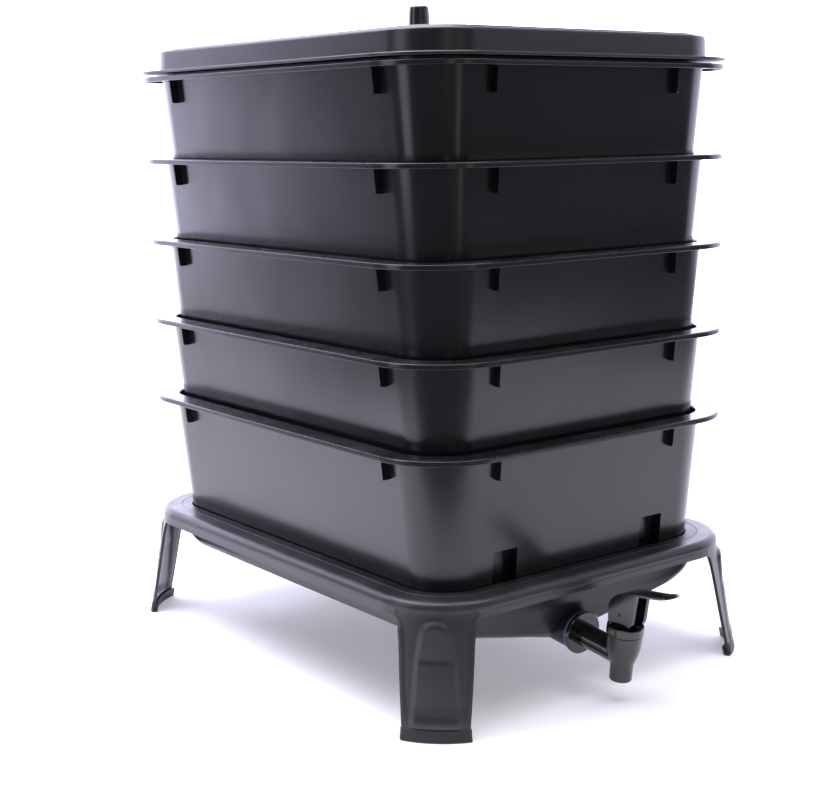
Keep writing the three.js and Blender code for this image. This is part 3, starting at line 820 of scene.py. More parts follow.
# %% [markdown]
# Now the columns are drawn. Where a leg goes down, the ring's lowest face is left open, and the
# leg's outer and inner walls carry on from its two edges.

# %% The stand's mesh


def leg_point(z, share, sign_x, sign_y, inside):
    off = leg_half(z) * share
    rise = rib_rise(z, off)
    wall = STAND_WALL + (LEG_WALL - STAND_WALL) * min((100 - z) / 10, 1)
    radius = RIM_CORNER + leg_level(z, share) + rise - (wall if inside else 0)
    return corner_point(radius, 45 + off, sign_x, sign_y) + (z,)


def stand_mesh():
    section = ring_section()
    angles = stand_angles()
    corners = ((1, 1), (-1, 1), (-1, -1), (1, -1))
    per_corner = len(angles)
    columns = per_corner * 4
    points = []
    for inset, z in section:
        points += [(x, y, z) for x, y in outline(inset, angles)]
    rows = len(section)
    faces = rows_to_faces(rows, columns)
    low_z = top_of("base_stand") - SKIRT_DROP
    legs = {}
    for corner, (sign_x, sign_y) in enumerate(corners):
        flip = sign_x * sign_y < 0
        for step in range(LEG_COLUMNS + 1):
            at = 4 + step
            column = corner * per_corner + (per_corner - 1 - at if flip else at)
            legs[column] = (sign_x, sign_y, step / LEG_COLUMNS * 2 - 1)
    outer, inner = {}, {}
    for column, (sign_x, sign_y, share) in legs.items():
        for row in range(SIDE_ROWS):
            points[row * columns + column] = leg_point(section[row][1], share, sign_x, sign_y, False)
        outer[column] = [column]
        inner[column] = [(rows - 1) * columns + column]
        for row in range(1, LEG_ROWS + 1):
            down = row / LEG_ROWS
            z = low_z - (low_z - LEG_END) * (down ** 1.25)
            for inside, run in ((False, outer), (True, inner)):
                run[column].append(len(points))
                points.append(leg_point(z, share, sign_x, sign_y, inside))
    for column in range(columns):
        after = (column + 1) % columns
        if column in legs and after in legs and legs[column][:2] == legs[after][:2]:
            for run in (outer, inner):
                here, there = run[column], run[after]
                for row in range(LEG_ROWS):
                    faces.append((here[row], there[row], there[row + 1], here[row + 1]))
            faces.append((outer[column][-1], outer[after][-1], inner[after][-1], inner[column][-1]))
        else:
            base = (rows - 1) * columns
            faces.append((column, after, base + after, base + column))
            for side in (column, after):
                if side in legs:
                    for row in range(LEG_ROWS):
                        faces.append((outer[side][row], outer[side][row + 1],
                                      inner[side][row + 1], inner[side][row]))
    return mesh_from("base stand", points, faces)


stand_body = stand_mesh()
print("the stand has", len(stand_body.polygons), "faces")

# %% [markdown]
# A foot is a band that the leg's end sits in. It stands a little proud of the leg, so a dark joint
# shows above it. It is drawn as a curved slab with a groove, its outer edges rounded.

# %% The feet's mesh
FOOT_EXTRA = 1.6
FOOT_COLUMNS = 28


def foot_mesh(sign_x, sign_y):
    """A curved trough: its section goes up the outer wall, over it, down the groove and back."""
    high = top_of("foot_front_left")
    half = leg_half(0) + FOOT_EXTRA
    proud, inner_proud, sole, round_off = 1.2, 5.5, 2.7, 1.5

    def outer(z):
        return RIM_CORNER + RING_OVER + leg_flare(z)

    section = []
    section += [(outer(0) + proud - round_off * (1 - math.sin(a)), round_off * (1 - math.cos(a)))
                for a in (0, 0.4, 0.8, 1.2, math.pi / 2)]
    section += [(outer(high) + proud, high - 0.8), (outer(high) + proud - 0.25, high - 0.25),
                (outer(high) + proud - 0.8, high)]
    section += [(outer(high) + 0.3, high), (outer(sole) + 0.3, sole)]
    section += [(outer(sole) - LEG_WALL - 0.3, sole), (outer(high) - LEG_WALL - 0.3, high - 2)]
    section += [(outer(high) - inner_proud, high - 2), (outer(0) - inner_proud, 0)]
    corner_share = 4.0 / 90
    rows = []
    ends = [i / FOOT_COLUMNS * 2 - 1 for i in range(FOOT_COLUMNS + 1)]
    for share in ends:
        near_end = max(abs(share) - (1 - corner_share), 0) / corner_share
        tuck = 1.6 * (1 - math.sqrt(max(1 - near_end * near_end, 0)))
        row = []
        for radius, z in section:
            pulled = radius - tuck if radius > outer(z) else radius
            row.append(corner_point(pulled, 45 + half * share, sign_x, sign_y) + (z,))
        rows.append(row)
    return stack_mesh("foot", rows)


print("foot spans", round(2 * (leg_half(0) + FOOT_EXTRA), 1), "degrees of its corner")

# %% [markdown]
# ## The sump
# The sump hangs in the ring. At every height it is a rounded rectangle whose length follows the
# sloping end walls and whose width follows the keel, so the tub is again a stack of outlines.
# Its rim sits in the ring's rebate, and a ledge inside it carries the lowest tray.

# %% The sump's outline at each height
SUMP_WALL = 2.5
SUMP_TOP = 104.0
SUMP_INSET = 24.0
SUMP_STEPS = 14
END_WALL = [(28, 42), (36, 32), (48, 22), (58, 15.5), (69, 9.6), (80, 3.5), (92, 0), (104, 0)]


def side_half(z):
    """Half the sump's width at height z: keel, slope, then the side's fillet."""
    if z < 46.6:
        return 60 * math.sqrt(max(z - 39, 0) / 7.6)
    if z < 69.4:
        return 60 + (z - 46.6) * 88 / 22.8
    if z < 93.5:
        return 141.5 + math.sqrt(max(25 * 25 - (93.5 - z) ** 2, 0))
    return 166.5


def level_outline(z, lift, shrink):
    """The tub's outline at one height; lift and shrink give the inner wall."""
    half_x = max(side_half(z - lift) - shrink, 0.5)
    half_y = RIM_HALF_Y - SUMP_INSET - read_off(END_WALL, z) - shrink
    corner = min(45.0 - shrink, half_x * 0.92)
    points = []
    for sign_x, sign_y in ((1, 1), (-1, 1), (-1, -1), (1, -1)):
        angles = corner_angles(SUMP_STEPS)
        run = angles if sign_x * sign_y > 0 else angles[::-1]
        for degrees in run:
            angle = math.radians(degrees)
            points.append((
                sign_x * (half_x - corner + corner * math.cos(angle)),
                sign_y * (half_y - corner + corner * math.sin(angle)),
                z,
            ))
    return points


def sump_levels(lift):
    low = [39.02, 39.3, 39.9, 40.8, 42, 43.5, 45, 46.6, 49, 52, 56, 60, 64, 67, 69.4]
    curve = [93.5 - 25 * math.cos(math.radians(a)) for a in (21, 29, 37, 45, 53, 61, 69, 76, 83)]
    return [z + lift for z in low + curve] + [96.0 + lift]


print("the sump is", 2 * round(side_half(SUMP_TOP), 1), "mm wide at the top")

# %% [markdown]
# The outer levels, the rim's band and the inner levels are one stack, so the wall has its thickness
# from the start. The band's inner edge is the ledge on which the lowest tray stands.

# %% The sump's mesh


def inner_levels():
    return [level_outline(z, SUMP_WALL, SUMP_WALL) for z in sump_levels(SUMP_WALL)]


def sump_mesh():
    outer = [level_outline(z, 0, 0) for z in sump_levels(0)]
    top = top_of("sump")
    ledge = low_of("tray_5") - 0.3
    flange_low = top - 2.1
    band = [(SUMP_INSET, SUMP_TOP), (SUMP_INSET, flange_low), (18.3, flange_low)]
    band += [(18.3, top - 0.5), (18.8, top)]
    band += arc((29.2 - 0.8, top - 0.8), 0.8, 90, 0, 3)
    band += [(29.2, ledge), (34.1, ledge), (34.5, ledge - 0.4), (34.5, ledge - 2.5), (26.5, ledge - 5)]
    angles = corner_angles(SUMP_STEPS)
    rim = [[(x, y, z) for x, y in outline(inset, angles)] for inset, z in band]
    return stack_mesh("sump", outer + rim + inner_levels()[::-1])


print("the sump's stack has", len(sump_levels(0)), "levels outside")

# %% [markdown]
# A round boss stands out of the keel, and the tap is screwed through it. Boss and tap lean a little,
# so both are drawn straight and then tilted together about the middle of the boss's face.

# %% The boss and the tilt


def lying_cylinder(name, radius, from_y, to_y, z, steps=64, rounding=0.0):
    """A closed bar along Y, with rounded rims where asked."""
    low, high = min(from_y, to_y), max(from_y, to_y)
    section = [(0, low), (radius - rounding, low), (radius, low + rounding)]
    section += [(radius, high - rounding), (radius - rounding, high), (0, high)]
    points, faces = [], []
    for r, y in section:
        for i in range(steps):
            angle = 2 * math.pi * i / steps
            points.append((r * math.cos(angle), y, z + r * math.sin(angle)))
    return hidden_tool(name, mesh_from(name, points, rows_to_faces(len(section), steps)))


TAP_Z = 50.3
TAP_REACH = 57.0
TAP_TILT = 7.0
BOSS_FACE_Y = -221.4
BOSS_LONG = 44.0
TAP_AXIS_Y = BOSS_FACE_Y - TAP_REACH
TILT = Matrix.Translation(place(0, BOSS_FACE_Y, TAP_Z)) @ Matrix.Rotation(math.radians(TAP_TILT), 4, "X") \
    @ Matrix.Translation(-place(0, BOSS_FACE_Y, TAP_Z))


def tilted(obj):
    """Leans a piece that was drawn upright, about the middle of the boss's face."""
    obj.data.transform(TILT)
    return obj


def sump_body():
    sump = hidden_tool("sump body", sump_mesh())
    boss = lying_cylinder("boss", 18, BOSS_FACE_Y, BOSS_FACE_Y + BOSS_LONG, TAP_Z, rounding=1.0)
    boolean(sump, "UNION", tilted(boss))
    room = hidden_tool("sump room", stack_mesh("sump room", inner_levels()))
    bore = lying_cylinder("boss bore", 15.5, BOSS_FACE_Y + 2.5, BOSS_FACE_Y + BOSS_LONG - 2.5, TAP_Z)
    hole = lying_cylinder("tap hole", 9.9, BOSS_FACE_Y - 1, BOSS_FACE_Y + 4, TAP_Z)
    return boolean(sump, "DIFFERENCE", room, tilted(bore), tilted(hole))


sump_shell = sump_body()
print("the sump has", len(sump_shell.data.polygons), "faces; tap axis", round(TAP_AXIS_Y, 1))

# %% [markdown]
# ## The tap
# The tap's body is one moulding: a disc that seats on the gasket, a shank, an upright barrel and a
# spout that tapers. The turned barrel and the lying shank are joined by booleans, then the inside
# is bored out.

# %% The tap's body
BODY_LOW = 26.9
BODY_TOP = 70.5
SEAT_TOP = 45.8
CHAMBER_LOW = 58.0
BARREL_LINE = [
    (6, 10.2), (11, 10.3), (14.6, 10.55), (17.4, 11.2), (20.1, 12.2), (22.6, 13.1), (25.1, 13.9),
    (27.5, 14.5), (30, 14.95), (33, 15.4), (37, 15.75), (41, 15.95),
]


def tap_body_mesh():
    low = BODY_LOW
    barrel = [(0, low), (9.3, low)] + arc((9.3, low + 0.8), 0.8, -60, 0, 3)
    barrel += [(radius, low + up) for up, radius in BARREL_LINE]
    barrel += [(16.0, BODY_TOP - 0.4), (15.6, BODY_TOP), (0, BODY_TOP)]
    body = hidden_tool("tap body", turned_mesh("tap body", barrel, TAP_AXIS_Y, 72))
    disc_in = BOSS_FACE_Y - 2.9
    shank = lying_cylinder("shank", 10.2, TAP_AXIS_Y, disc_in - 2, TAP_Z, 48)
    keel = lying_cylinder("shank keel", 11.2, TAP_AXIS_Y, disc_in - 2, TAP_Z, 48)
    trim = hidden_tool("keel trim", bpy.data.meshes.new("keel trim"))
    work = bmesh.new()
    bmesh.ops.create_cube(work, size=0.2)
    for vert in work.verts:
        vert.co += place(0, TAP_AXIS_Y + 30, TAP_Z - 2.5 + 100)
    work.to_mesh(trim.data)
    work.free()
    boolean(keel, "DIFFERENCE", trim)
    disc = lying_cylinder("disc", 19.8, disc_in - 4, disc_in, TAP_Z, 72, rounding=0.7)
    tail = lying_cylinder("tail", 9.5, disc_in - 2, BOSS_FACE_Y + 16, TAP_Z, 48, rounding=0.6)
    boolean(body, "UNION", shank, keel, disc, tail)
    bores = [(0, low - 1), (8.0, low - 1), (7.6, low + 1.2), (7.6, SEAT_TOP - 4)]
    bores += [(5, SEAT_TOP - 4), (5, SEAT_TOP), (8.6, SEAT_TOP), (8.6, CHAMBER_LOW)]
    bores += [(12, CHAMBER_LOW), (12, BODY_TOP + 1), (0, BODY_TOP + 1)]
    bore = hidden_tool("barrel bore", turned_mesh("barrel bore", bores, TAP_AXIS_Y, 48))
    water = lying_cylinder("water bore", 5.5, TAP_AXIS_Y, BOSS_FACE_Y + 17, TAP_Z, 32)
    return boolean(body, "DIFFERENCE", bore, water)


def soften(obj, width):
    """Rounds the edges that a boolean or a plate leaves sharp."""
    bevel = obj.modifiers.new("soft edges", "BEVEL")
    bevel.width = width * MM
    bevel.segments = 2
    bevel.limit_method = "ANGLE"
    bevel.angle_limit = math.radians(35)
    bevel.use_clamp_overlap = True
    bevel.harden_normals = False
    return bake_modifiers(obj)


tap_body = tap_body_mesh()
print("the tap body has", len(tap_body.data.polygons), "faces")

# %% [markdown]
# The bonnet closes the barrel. Its rim stands round a shallow recess, and the stem comes up through
# it. The lever's two cheeks hold the stem's head with a pin, and the paddle reaches out over the
# spout, so a push on it lifts the stem and opens the valve.

# %% Bonnet and stem
BONNET_TOP = 78.3
STEM_LOW = 49.9
HEAD_LOW = 83.5
HEAD_TOP = 94.6
PIN_Z = 89.5


def bonnet_section():
    top = BONNET_TOP
    shoulder = BODY_TOP + 0.3
    low = shoulder - 6.0
    section = [(8, low), (11.7, low), (11.7, shoulder), (16.0, shoulder)]
    section += arc((16.0, shoulder + 0.5), 0.5, 270, 360, 3) + [(16.5, top - 3.2)]
    section += [(16.35, top - 2.6), (16.35, top - 2.3), (16.5, top - 1.7)]
    section += arc((15.7, top - 0.8), 0.8, 0, 90, 4) + arc((15.1, top - 0.6), 0.6, 90, 180, 3)
    return section + [(14.5, top - 1.5), (3.35, top - 1.5), (3.35, top - 4), (8, top - 4)]


def stem_mesh():
    low, neck = STEM_LOW, HEAD_LOW + 1
    rod = [(0, low), (6.3, low), (6.5, low + 0.2), (6.5, low + 1.5), (3, low + 1.5), (3, neck), (0, neck)]
    stem = hidden_tool("stem", turned_mesh("stem", rod, TAP_AXIS_Y, 32))
    half = 5.2
    round_top = 4.4
    head = arc((TAP_AXIS_Y + half - round_top, HEAD_TOP - round_top), round_top, 0, 90, 6)
    head += arc((TAP_AXIS_Y - half + round_top, HEAD_TOP - round_top), round_top, 90, 180, 6)
    head += [(TAP_AXIS_Y - half, HEAD_LOW), (TAP_AXIS_Y + half, HEAD_LOW)]
    block = hidden_tool("stem head", prism_mesh("stem head", head, half))
    boolean(stem, "UNION", block)
    return boolean(stem, "DIFFERENCE", cross_bar("stem pin hole", 2.08, 12, 24))


def cross_bar(name, radius, half, steps):
    """A bar along X through the lever's pivot."""
    section = arc((TAP_AXIS_Y, PIN_Z), radius, 0, 360 - 360 / steps, steps - 1)
    return hidden_tool(name, prism_mesh(name, section, half))


print("the stem is", round(HEAD_TOP - STEM_LOW, 1), "mm long")

# %% [markdown]
# The paddle follows a smooth line through a few measured points. It is crowned across its width,
# its rim is rounded, and its tip is a half circle.

# %% The lever's paddle
LEVER_LINE = [
    (-14.3, 2), (-13.6, 7.6), (-10, 13.1), (-4, 17.7), (5.5, 22.2), (17.2, 25.9), (28.9, 28.7),
    (41.6, 32), (54.4, 36.8),
]
LEVER_HALF = 9.0
LEVER_THICK = 2.6


def smooth_line(knots, per_span):
    """A smooth line through all its knots (Catmull-Rom)."""
    ends = [knots[0]] + list(knots) + [knots[-1]]
    points = []
    for a, b, c, d in zip(ends, ends[1:], ends[2:], ends[3:]):
        for i in range(per_span):
            t = i / per_span
            points.append(tuple(
                0.5 * (2 * q + (r - p) * t + (2 * p - 5 * q + 4 * r - s) * t * t
                       + (3 * q - p - 3 * r + s) * t ** 3)
                for p, q, r, s in zip(a, b, c, d)
            ))
    points.append(tuple(knots[-1]))
    return points


def lever_web():
    """The paddle: a crowned strip along its line, with a rounded tip."""
    line = smooth_line(LEVER_LINE, 5)
    across = 14
    tip = line[-1][0]
    points, rows = [], []
    for side in (1, -1):
        for i, (out, up) in enumerate(line):
            before, after = line[max(i - 1, 0)], line[min(i + 1, len(line) - 1)]
            run = math.hypot(after[0] - before[0], after[1] - before[1])
            normal = (-(after[1] - before[1]) / run, (after[0] - before[0]) / run)
            left = max(tip - out, 0)
            half = LEVER_HALF
            if left < LEVER_HALF:
                half = math.sqrt(max(LEVER_HALF ** 2 - (LEVER_HALF - left) ** 2, 0.05))
            row = []
            for j in range(across + 1):
                share = j / across * 2 - 1
                x = half * share
                rim = smooth((half - abs(x)) / 1.4)
                thick = 0 if side > 0 else LEVER_THICK
                lift = -0.7 * (x / LEVER_HALF) ** 2 * smooth((out - 6) / 20)
                inward = thick + (0.45 if side > 0 else -0.45) * (1 - rim)
                row.append(len(points))
                points.append((x, TAP_AXIS_Y - out + normal[0] * inward,
                               PIN_Z + up - normal[1] * inward + lift))
            rows.append(row)
    count = len(line)
    faces = []
    for a, b in ((0, count), (count, 2 * count)):
        for i in range(a, b - 1):
            for j in range(across):
                faces.append((rows[i][j], rows[i][j + 1], rows[i + 1][j + 1], rows[i + 1][j]))
    for i in range(count - 1):
        for j in (0, across):
            faces.append((rows[i][j], rows[i + 1][j], rows[count + i + 1][j], rows[count + i][j]))
    for i in (0, count - 1):
        for j in range(across):
            faces.append((rows[i][j], rows[i][j + 1], rows[count + i][j + 1], rows[count + i][j]))
    return hidden_tool("lever", mesh_from("lever", points, faces))


print("the paddle's line has", len(smooth_line(LEVER_LINE, 5)), "points")

# %% [markdown]
# A cheek on each side of the stem's head joins the paddle to the pin.

# %% The lever's cheeks and the whole lever


def cheek(sign):
    front = [(8, -10.9), (10.4, -9.9), (12.5, -8.2), (14.1, -5.6), (15, -2.5), (15.5, 2), (15.6, 6)]
    rear = [(-13.4, -8.4), (-13.2, -9.4), (-12.5, -10.4), (-11.4, -10.9)]
    low = [(TAP_AXIS_Y - out, PIN_Z + up) for out, up in rear + front]
    back = [(TAP_AXIS_Y - out, PIN_Z + up - 1.2) for out, up in smooth_line(LEVER_LINE[:6], 4)]
    section = low + back[::-1]
    mesh = prism_mesh("cheek", section, 1.7)
    mesh.transform(Matrix.Translation((sign * 7.3 * MM, 0, 0)))
    return hidden_tool("cheek", mesh)


def lever_body():
    web = lever_web()
    boolean(web, "UNION", cheek(-1), cheek(1))
    boolean(web, "DIFFERENCE", cross_bar("lever pin hole", 2.08, 12, 24))
    return web


tap_lever = lever_body()
print("the lever has", len(tap_lever.data.polygons), "faces")

# %% [markdown]
# ## Finishes
# One look is built from small effects that several finishes share, so each effect is a node group:
# faint moulding unevenness, fine grain, dust that settles on faces that look up, and fine scuffs.
# A group gives only masks and heights; each material decides what they do to it.

# %% Helpers for shader groups


def new_group(name, inputs, outputs):
    group = bpy.data.node_groups.new(name, "ShaderNodeTree")
    for label, value in inputs:
        socket = group.interface.new_socket(label, in_out="INPUT", socket_type="NodeSocketFloat")
        socket.default_value = value
    for label, kind in outputs:
        group.interface.new_socket(label, in_out="OUTPUT", socket_type=kind)
    return group, group.nodes.new("NodeGroupInput"), group.nodes.new("NodeGroupOutput")


def remap(tree, value, low, high, to_low=0.0, to_high=1.0):
    node = tree.nodes.new("ShaderNodeMapRange")
    node.interpolation_type = "SMOOTHSTEP"
    tree.links.new(value, node.inputs[0])
    for socket, number in zip(node.inputs[1:5], (low, high, to_low, to_high)):
        socket.default_value = number
    return node.outputs[0]


def noise(tree, vector, scale, detail, roughness=0.5):
    return add_node(tree, "ShaderNodeTexNoise", Vector=vector, Scale=scale, Detail=detail,
                    Roughness=roughness).outputs[0]


def object_coordinates(tree):
    return add_node(tree, "ShaderNodeTexCoord").outputs["Object"]


print("shader helpers are ready")

# %% [markdown]
# The moulded skin is two noises, one slow and one fine. Dust lies where the surface looks up.
# Scuffs are a noise stretched along one axis and broken up by a slower one.

# %% The three shared effects


def moulding_group():
    """Height of the slow unevenness and of the fine grain of a moulded face."""
    group, start, end = new_group(
        "moulded skin", [("Wave Scale", 9.0), ("Grain Scale", 900.0)],
        [("Wave", "NodeSocketFloat"), ("Grain", "NodeSocketFloat")],
    )
    where = object_coordinates(group)
    group.links.new(noise(group, where, start.outputs["Wave Scale"], 1.5), end.inputs["Wave"])
    group.links.new(noise(group, where, start.outputs["Grain Scale"], 2.0, 0.6), end.inputs["Grain"])
    return group


def dust_group():
    """Where dust lies: on faces that look up, in uneven patches with specks."""
    group, start, end = new_group(
        "settled dust", [("Patch Scale", 22.0), ("Speck Scale", 420.0)],
        [("Dust", "NodeSocketFloat"), ("Specks", "NodeSocketFloat")],
    )
    where = object_coordinates(group)
    normal = add_node(group, "ShaderNodeNewGeometry").outputs["Normal"]
    upward = remap(group, add_node(group, "ShaderNodeSeparateXYZ", Vector=normal).outputs["Z"], 0.35, 0.95)
    patches = remap(group, noise(group, where, start.outputs["Patch Scale"], 5.0, 0.6), 0.35, 0.75)
    specks = remap(group, noise(group, where, start.outputs["Speck Scale"], 2.0), 0.66, 0.74)
    group.links.new(math_node(group, "MULTIPLY", upward, patches), end.inputs["Dust"])
    group.links.new(math_node(group, "MULTIPLY", upward, specks), end.inputs["Specks"])
    return group


def scuff_group():
    """Fine scuffs: thin streaks from a stretched noise, broken up by a slower one."""
    group, start, end = new_group(
        "fine scuffs", [("Streak Scale", 60.0), ("Amount", 0.5)], [("Scuffs", "NodeSocketFloat")],
    )
    where = object_coordinates(group)
    stretched = add_node(group, "ShaderNodeVectorMath", {"operation": "MULTIPLY"})
    group.links.new(where, stretched.inputs[0])
    stretched.inputs[1].default_value = (1.0, 1.0, 7.0)
    lines = noise(group, stretched.outputs[0], start.outputs["Streak Scale"], 4.0, 0.7)
    streaks = remap(group, lines, 0.6, 0.72)
    areas = remap(group, noise(group, where, 7.0, 2.0), 0.45, 0.7)
    broken = math_node(group, "MULTIPLY", streaks, areas)
    amount = math_node(group, "MULTIPLY", broken, start.outputs["Amount"])
    group.links.new(amount, end.inputs["Scuffs"])
    return group


MOULDING = moulding_group()
DUST = dust_group()
SCUFFS = scuff_group()
print("shared effects:", ", ".join(group.name for group in (MOULDING, DUST, SCUFFS)))

# %% [markdown]
# Every plastic uses one recipe with its own numbers: a base colour that drifts a little, dust and
# scuffs mixed over it, a roughness that follows the same masks, and a bump from the moulded skin.

# %% The plastics' recipe


def use_group(tree, group, **values):
    node = tree.nodes.new("ShaderNodeGroup")
    node.node_tree = group
    for key, value in values.items():
        node.inputs[key.replace("_", " ")].default_value = value
    return node


def mix_colour(tree, factor, first, second):
    node = tree.nodes.new("ShaderNodeMix")
    node.data_type = "RGBA"
    sockets = [s for s in node.inputs if s.enabled]
    for socket, value in zip(sockets, (factor, first, second)):
        feed(tree, socket, value)
    return next(s for s in node.outputs if s.enabled)


def scaled(tree, value, amount):
    return math_node(tree, "MULTIPLY", value, amount)


def grey(value, blue=1.0):
    return (value, value, value * blue, 1.0)


def new_material(name):
    material = bpy.data.materials.new(name)
    material.use_nodes = True
    tree = material.node_tree
    return material, tree, tree.nodes["Principled BSDF"]


def bumped(tree, height, strength, distance, before=None):
    bump = add_node(tree, "ShaderNodeBump", Height=height, Strength=strength, Distance=distance * MM)
    if before:
        tree.links.new(before, bump.inputs["Normal"])
    return bump.outputs[0]


def plastic(name, colour, rough, wave=0.5, grain=0.12, dust=0.25, coat=0.0):
    material, tree, shader = new_material(name)
    skin = use_group(tree, MOULDING)
    settled = use_group(tree, DUST)
    worn = use_group(tree, SCUFFS, Amount=0.4)
    lighter = tuple(c * 1.15 + 0.0005 for c in colour[:3]) + (1.0,)
    drift = mix_colour(tree, remap(tree, skin.outputs["Wave"], 0.2, 0.8), colour, lighter)
    pale = tuple(c * 0.6 + 0.09 for c in colour[:3]) + (1.0,)
    dusty = mix_colour(tree, scaled(tree, settled.outputs["Dust"], dust), drift, pale)
    specked = mix_colour(tree, scaled(tree, settled.outputs["Specks"], dust), dusty, grey(0.35))
    scuffed = mix_colour(tree, scaled(tree, worn.outputs["Scuffs"], 0.35), specked, pale)
    tree.links.new(scuffed, shader.inputs["Base Color"])
    base = remap(tree, skin.outputs["Wave"], 0.2, 0.8, rough - 0.02, rough + 0.02)
    with_dust = math_node(tree, "MULTIPLY_ADD", settled.outputs["Dust"], dust * 0.5, base)
    with_scuffs = math_node(tree, "MULTIPLY_ADD", worn.outputs["Scuffs"], 0.06, with_dust)
    tree.links.new(with_scuffs, shader.inputs["Roughness"])
    slow = bumped(tree, skin.outputs["Wave"], wave, 1.2)
    fine = bumped(tree, skin.outputs["Grain"], grain, 0.06, slow)
    tree.links.new(fine, shader.inputs["Normal"])
    shader.inputs["IOR"].default_value = 1.5
    if coat:
        shader.inputs["Coat Weight"].default_value = coat
        shader.inputs["Coat Roughness"].default_value = 0.12
    return material


TRAY = plastic("charcoal tray plastic", (0.0085, 0.0083, 0.0100, 1), 0.225)
LID = plastic("charcoal lid plastic", (0.0100, 0.0098, 0.0118, 1), 0.32, wave=0.4, dust=0.35)
STAND = plastic("charcoal stand plastic", (0.0165, 0.0163, 0.0192, 1), 0.34, wave=0.35)
FOOT = plastic("dark foot plastic", (0.010, 0.010, 0.012, 1), 0.5, grain=0.25)
SUMP = plastic("black sump plastic", (0.0085, 0.0085, 0.0095, 1), 0.36)
KNOB = plastic("black knob plastic", (0.008, 0.008, 0.0095, 1), 0.2, wave=0.15, dust=0.3, coat=0.2)
TAP = plastic("glossy tap plastic", (0.0060, 0.0060, 0.0056, 1), 0.14, wave=0.2, dust=0.1, coat=0.5)
NUT = plastic("black nut plastic", (0.010, 0.010, 0.010, 1), 0.38)
print("plastics:", ", ".join(m.name for m in (TRAY, LID, STAND, FOOT, SUMP, KNOB, TAP, NUT)))

# %% [markdown]
# The gasket is soft blue rubber, the seals are black rubber, and the small hardware is steel with
# a fine brushed grain. They share the same effects, mixed in other shares.

# %% Rubber and steel


def rubber(name, colour, rough):
    material, tree, shader = new_material(name)
    skin = use_group(tree, MOULDING, Wave_Scale=60.0, Grain_Scale=1500.0)
    settled = use_group(tree, DUST, Patch_Scale=80.0)
    darker = tuple(c * 0.75 for c in colour[:3]) + (1.0,)
    body = mix_colour(tree, remap(tree, skin.outputs["Wave"], 0.3, 0.7), darker, colour)
    dusty = mix_colour(tree, scaled(tree, settled.outputs["Dust"], 0.35), body, grey(0.3))
    tree.links.new(dusty, shader.inputs["Base Color"])
    dulling = remap(tree, skin.outputs["Grain"], 0.2, 0.8, rough - 0.06, rough + 0.06)
    tree.links.new(dulling, shader.inputs["Roughness"])
    tree.links.new(bumped(tree, skin.outputs["Grain"], 0.2, 0.08), shader.inputs["Normal"])
    return material


def steel():
    material, tree, shader = new_material("brushed steel")
    where = object_coordinates(tree)
    drawn = add_node(tree, "ShaderNodeVectorMath", {"operation": "MULTIPLY"})
    tree.links.new(where, drawn.inputs[0])
    drawn.inputs[1].default_value = (1.0, 1.0, 0.08)
    lines = noise(tree, drawn.outputs[0], 2200.0, 2.0)
    worn = use_group(tree, SCUFFS, Amount=1.0)
    body = mix_colour(tree, lines, grey(0.42, 1.03), grey(0.6, 1.02))
    dulled = mix_colour(tree, scaled(tree, worn.outputs["Scuffs"], 0.6), body, (0.25, 0.22, 0.19, 1))
    tree.links.new(dulled, shader.inputs["Base Color"])
    shader.inputs["Metallic"].default_value = 1.0
    tree.links.new(remap(tree, lines, 0.2, 0.8, 0.24, 0.42), shader.inputs["Roughness"])
    tree.links.new(bumped(tree, lines, 0.15, 0.03), shader.inputs["Normal"])
    return material


BLUE = rubber("blue gasket rubber", (0.10, 0.24, 0.50, 1), 0.5)
RUBBER = rubber("black seal rubber", (0.02, 0.02, 0.02, 1), 0.6)
STEEL = steel()
print("and", BLUE.name + ",", RUBBER.name, "and", STEEL.name)

# %% [markdown]
# ## The pieces in their places
# Each mesh now becomes a piece on the body that carries it. The five trays are copies of one mesh,
# lifted to their own rim heights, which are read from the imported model.

# %% Trays, lid and knob


def lifted(mesh, z):
    copy = mesh.copy()
    copy.transform(Matrix.Translation((0, 0, z * MM)))
    return copy


def on_stand(name, mesh, slot, material, node):
    return dress(piece_from(name + "_finished", mesh), "stand", slot, material, node)


def on_lid(name, mesh, slot, material, node, sharp_degrees=34.0):
    return dress(piece_from(name + "_finished", mesh, sharp_degrees), "lid_body", slot, material, node)


for storey in range(1, 6):
    node = f"tray_{storey}"
    tray = piece_from(node + "_finished", lifted(tray_mesh, top_of(node)))
    dress(tray, node + "_body", "tray_plastic", TRAY, node)

on_lid("lid", lid_shell.data.copy(), "lid_plastic", LID, "lid")
on_lid("knob", turned_mesh("knob", knob_section(), 0, 72), "knob_plastic", KNOB, "lid_knob", 50)
on_lid("washer", turned_mesh("washer", washer_section(), 0, 48), "steel", STEEL, "knob_washer")
on_lid("screw", turned_mesh("screw", screw_section(), 0, 48), "steel", STEEL, "knob_screw")

# %% [markdown]
# The stand, its four feet and the sump belong to the body that stays on the ground.

# %% Stand, feet and sump
on_stand("stand", stand_body, "stand_plastic", STAND, "base_stand")
FEET = {"front_left": (-1, -1), "front_right": (1, -1), "back_right": (1, 1), "back_left": (-1, 1)}
for corner, signs in FEET.items():
    on_stand(f"foot_{corner}", foot_mesh(*signs), "foot_plastic", FOOT, f"foot_{corner}")
on_stand("sump", sump_shell.data.copy(), "sump_plastic", SUMP, "sump")
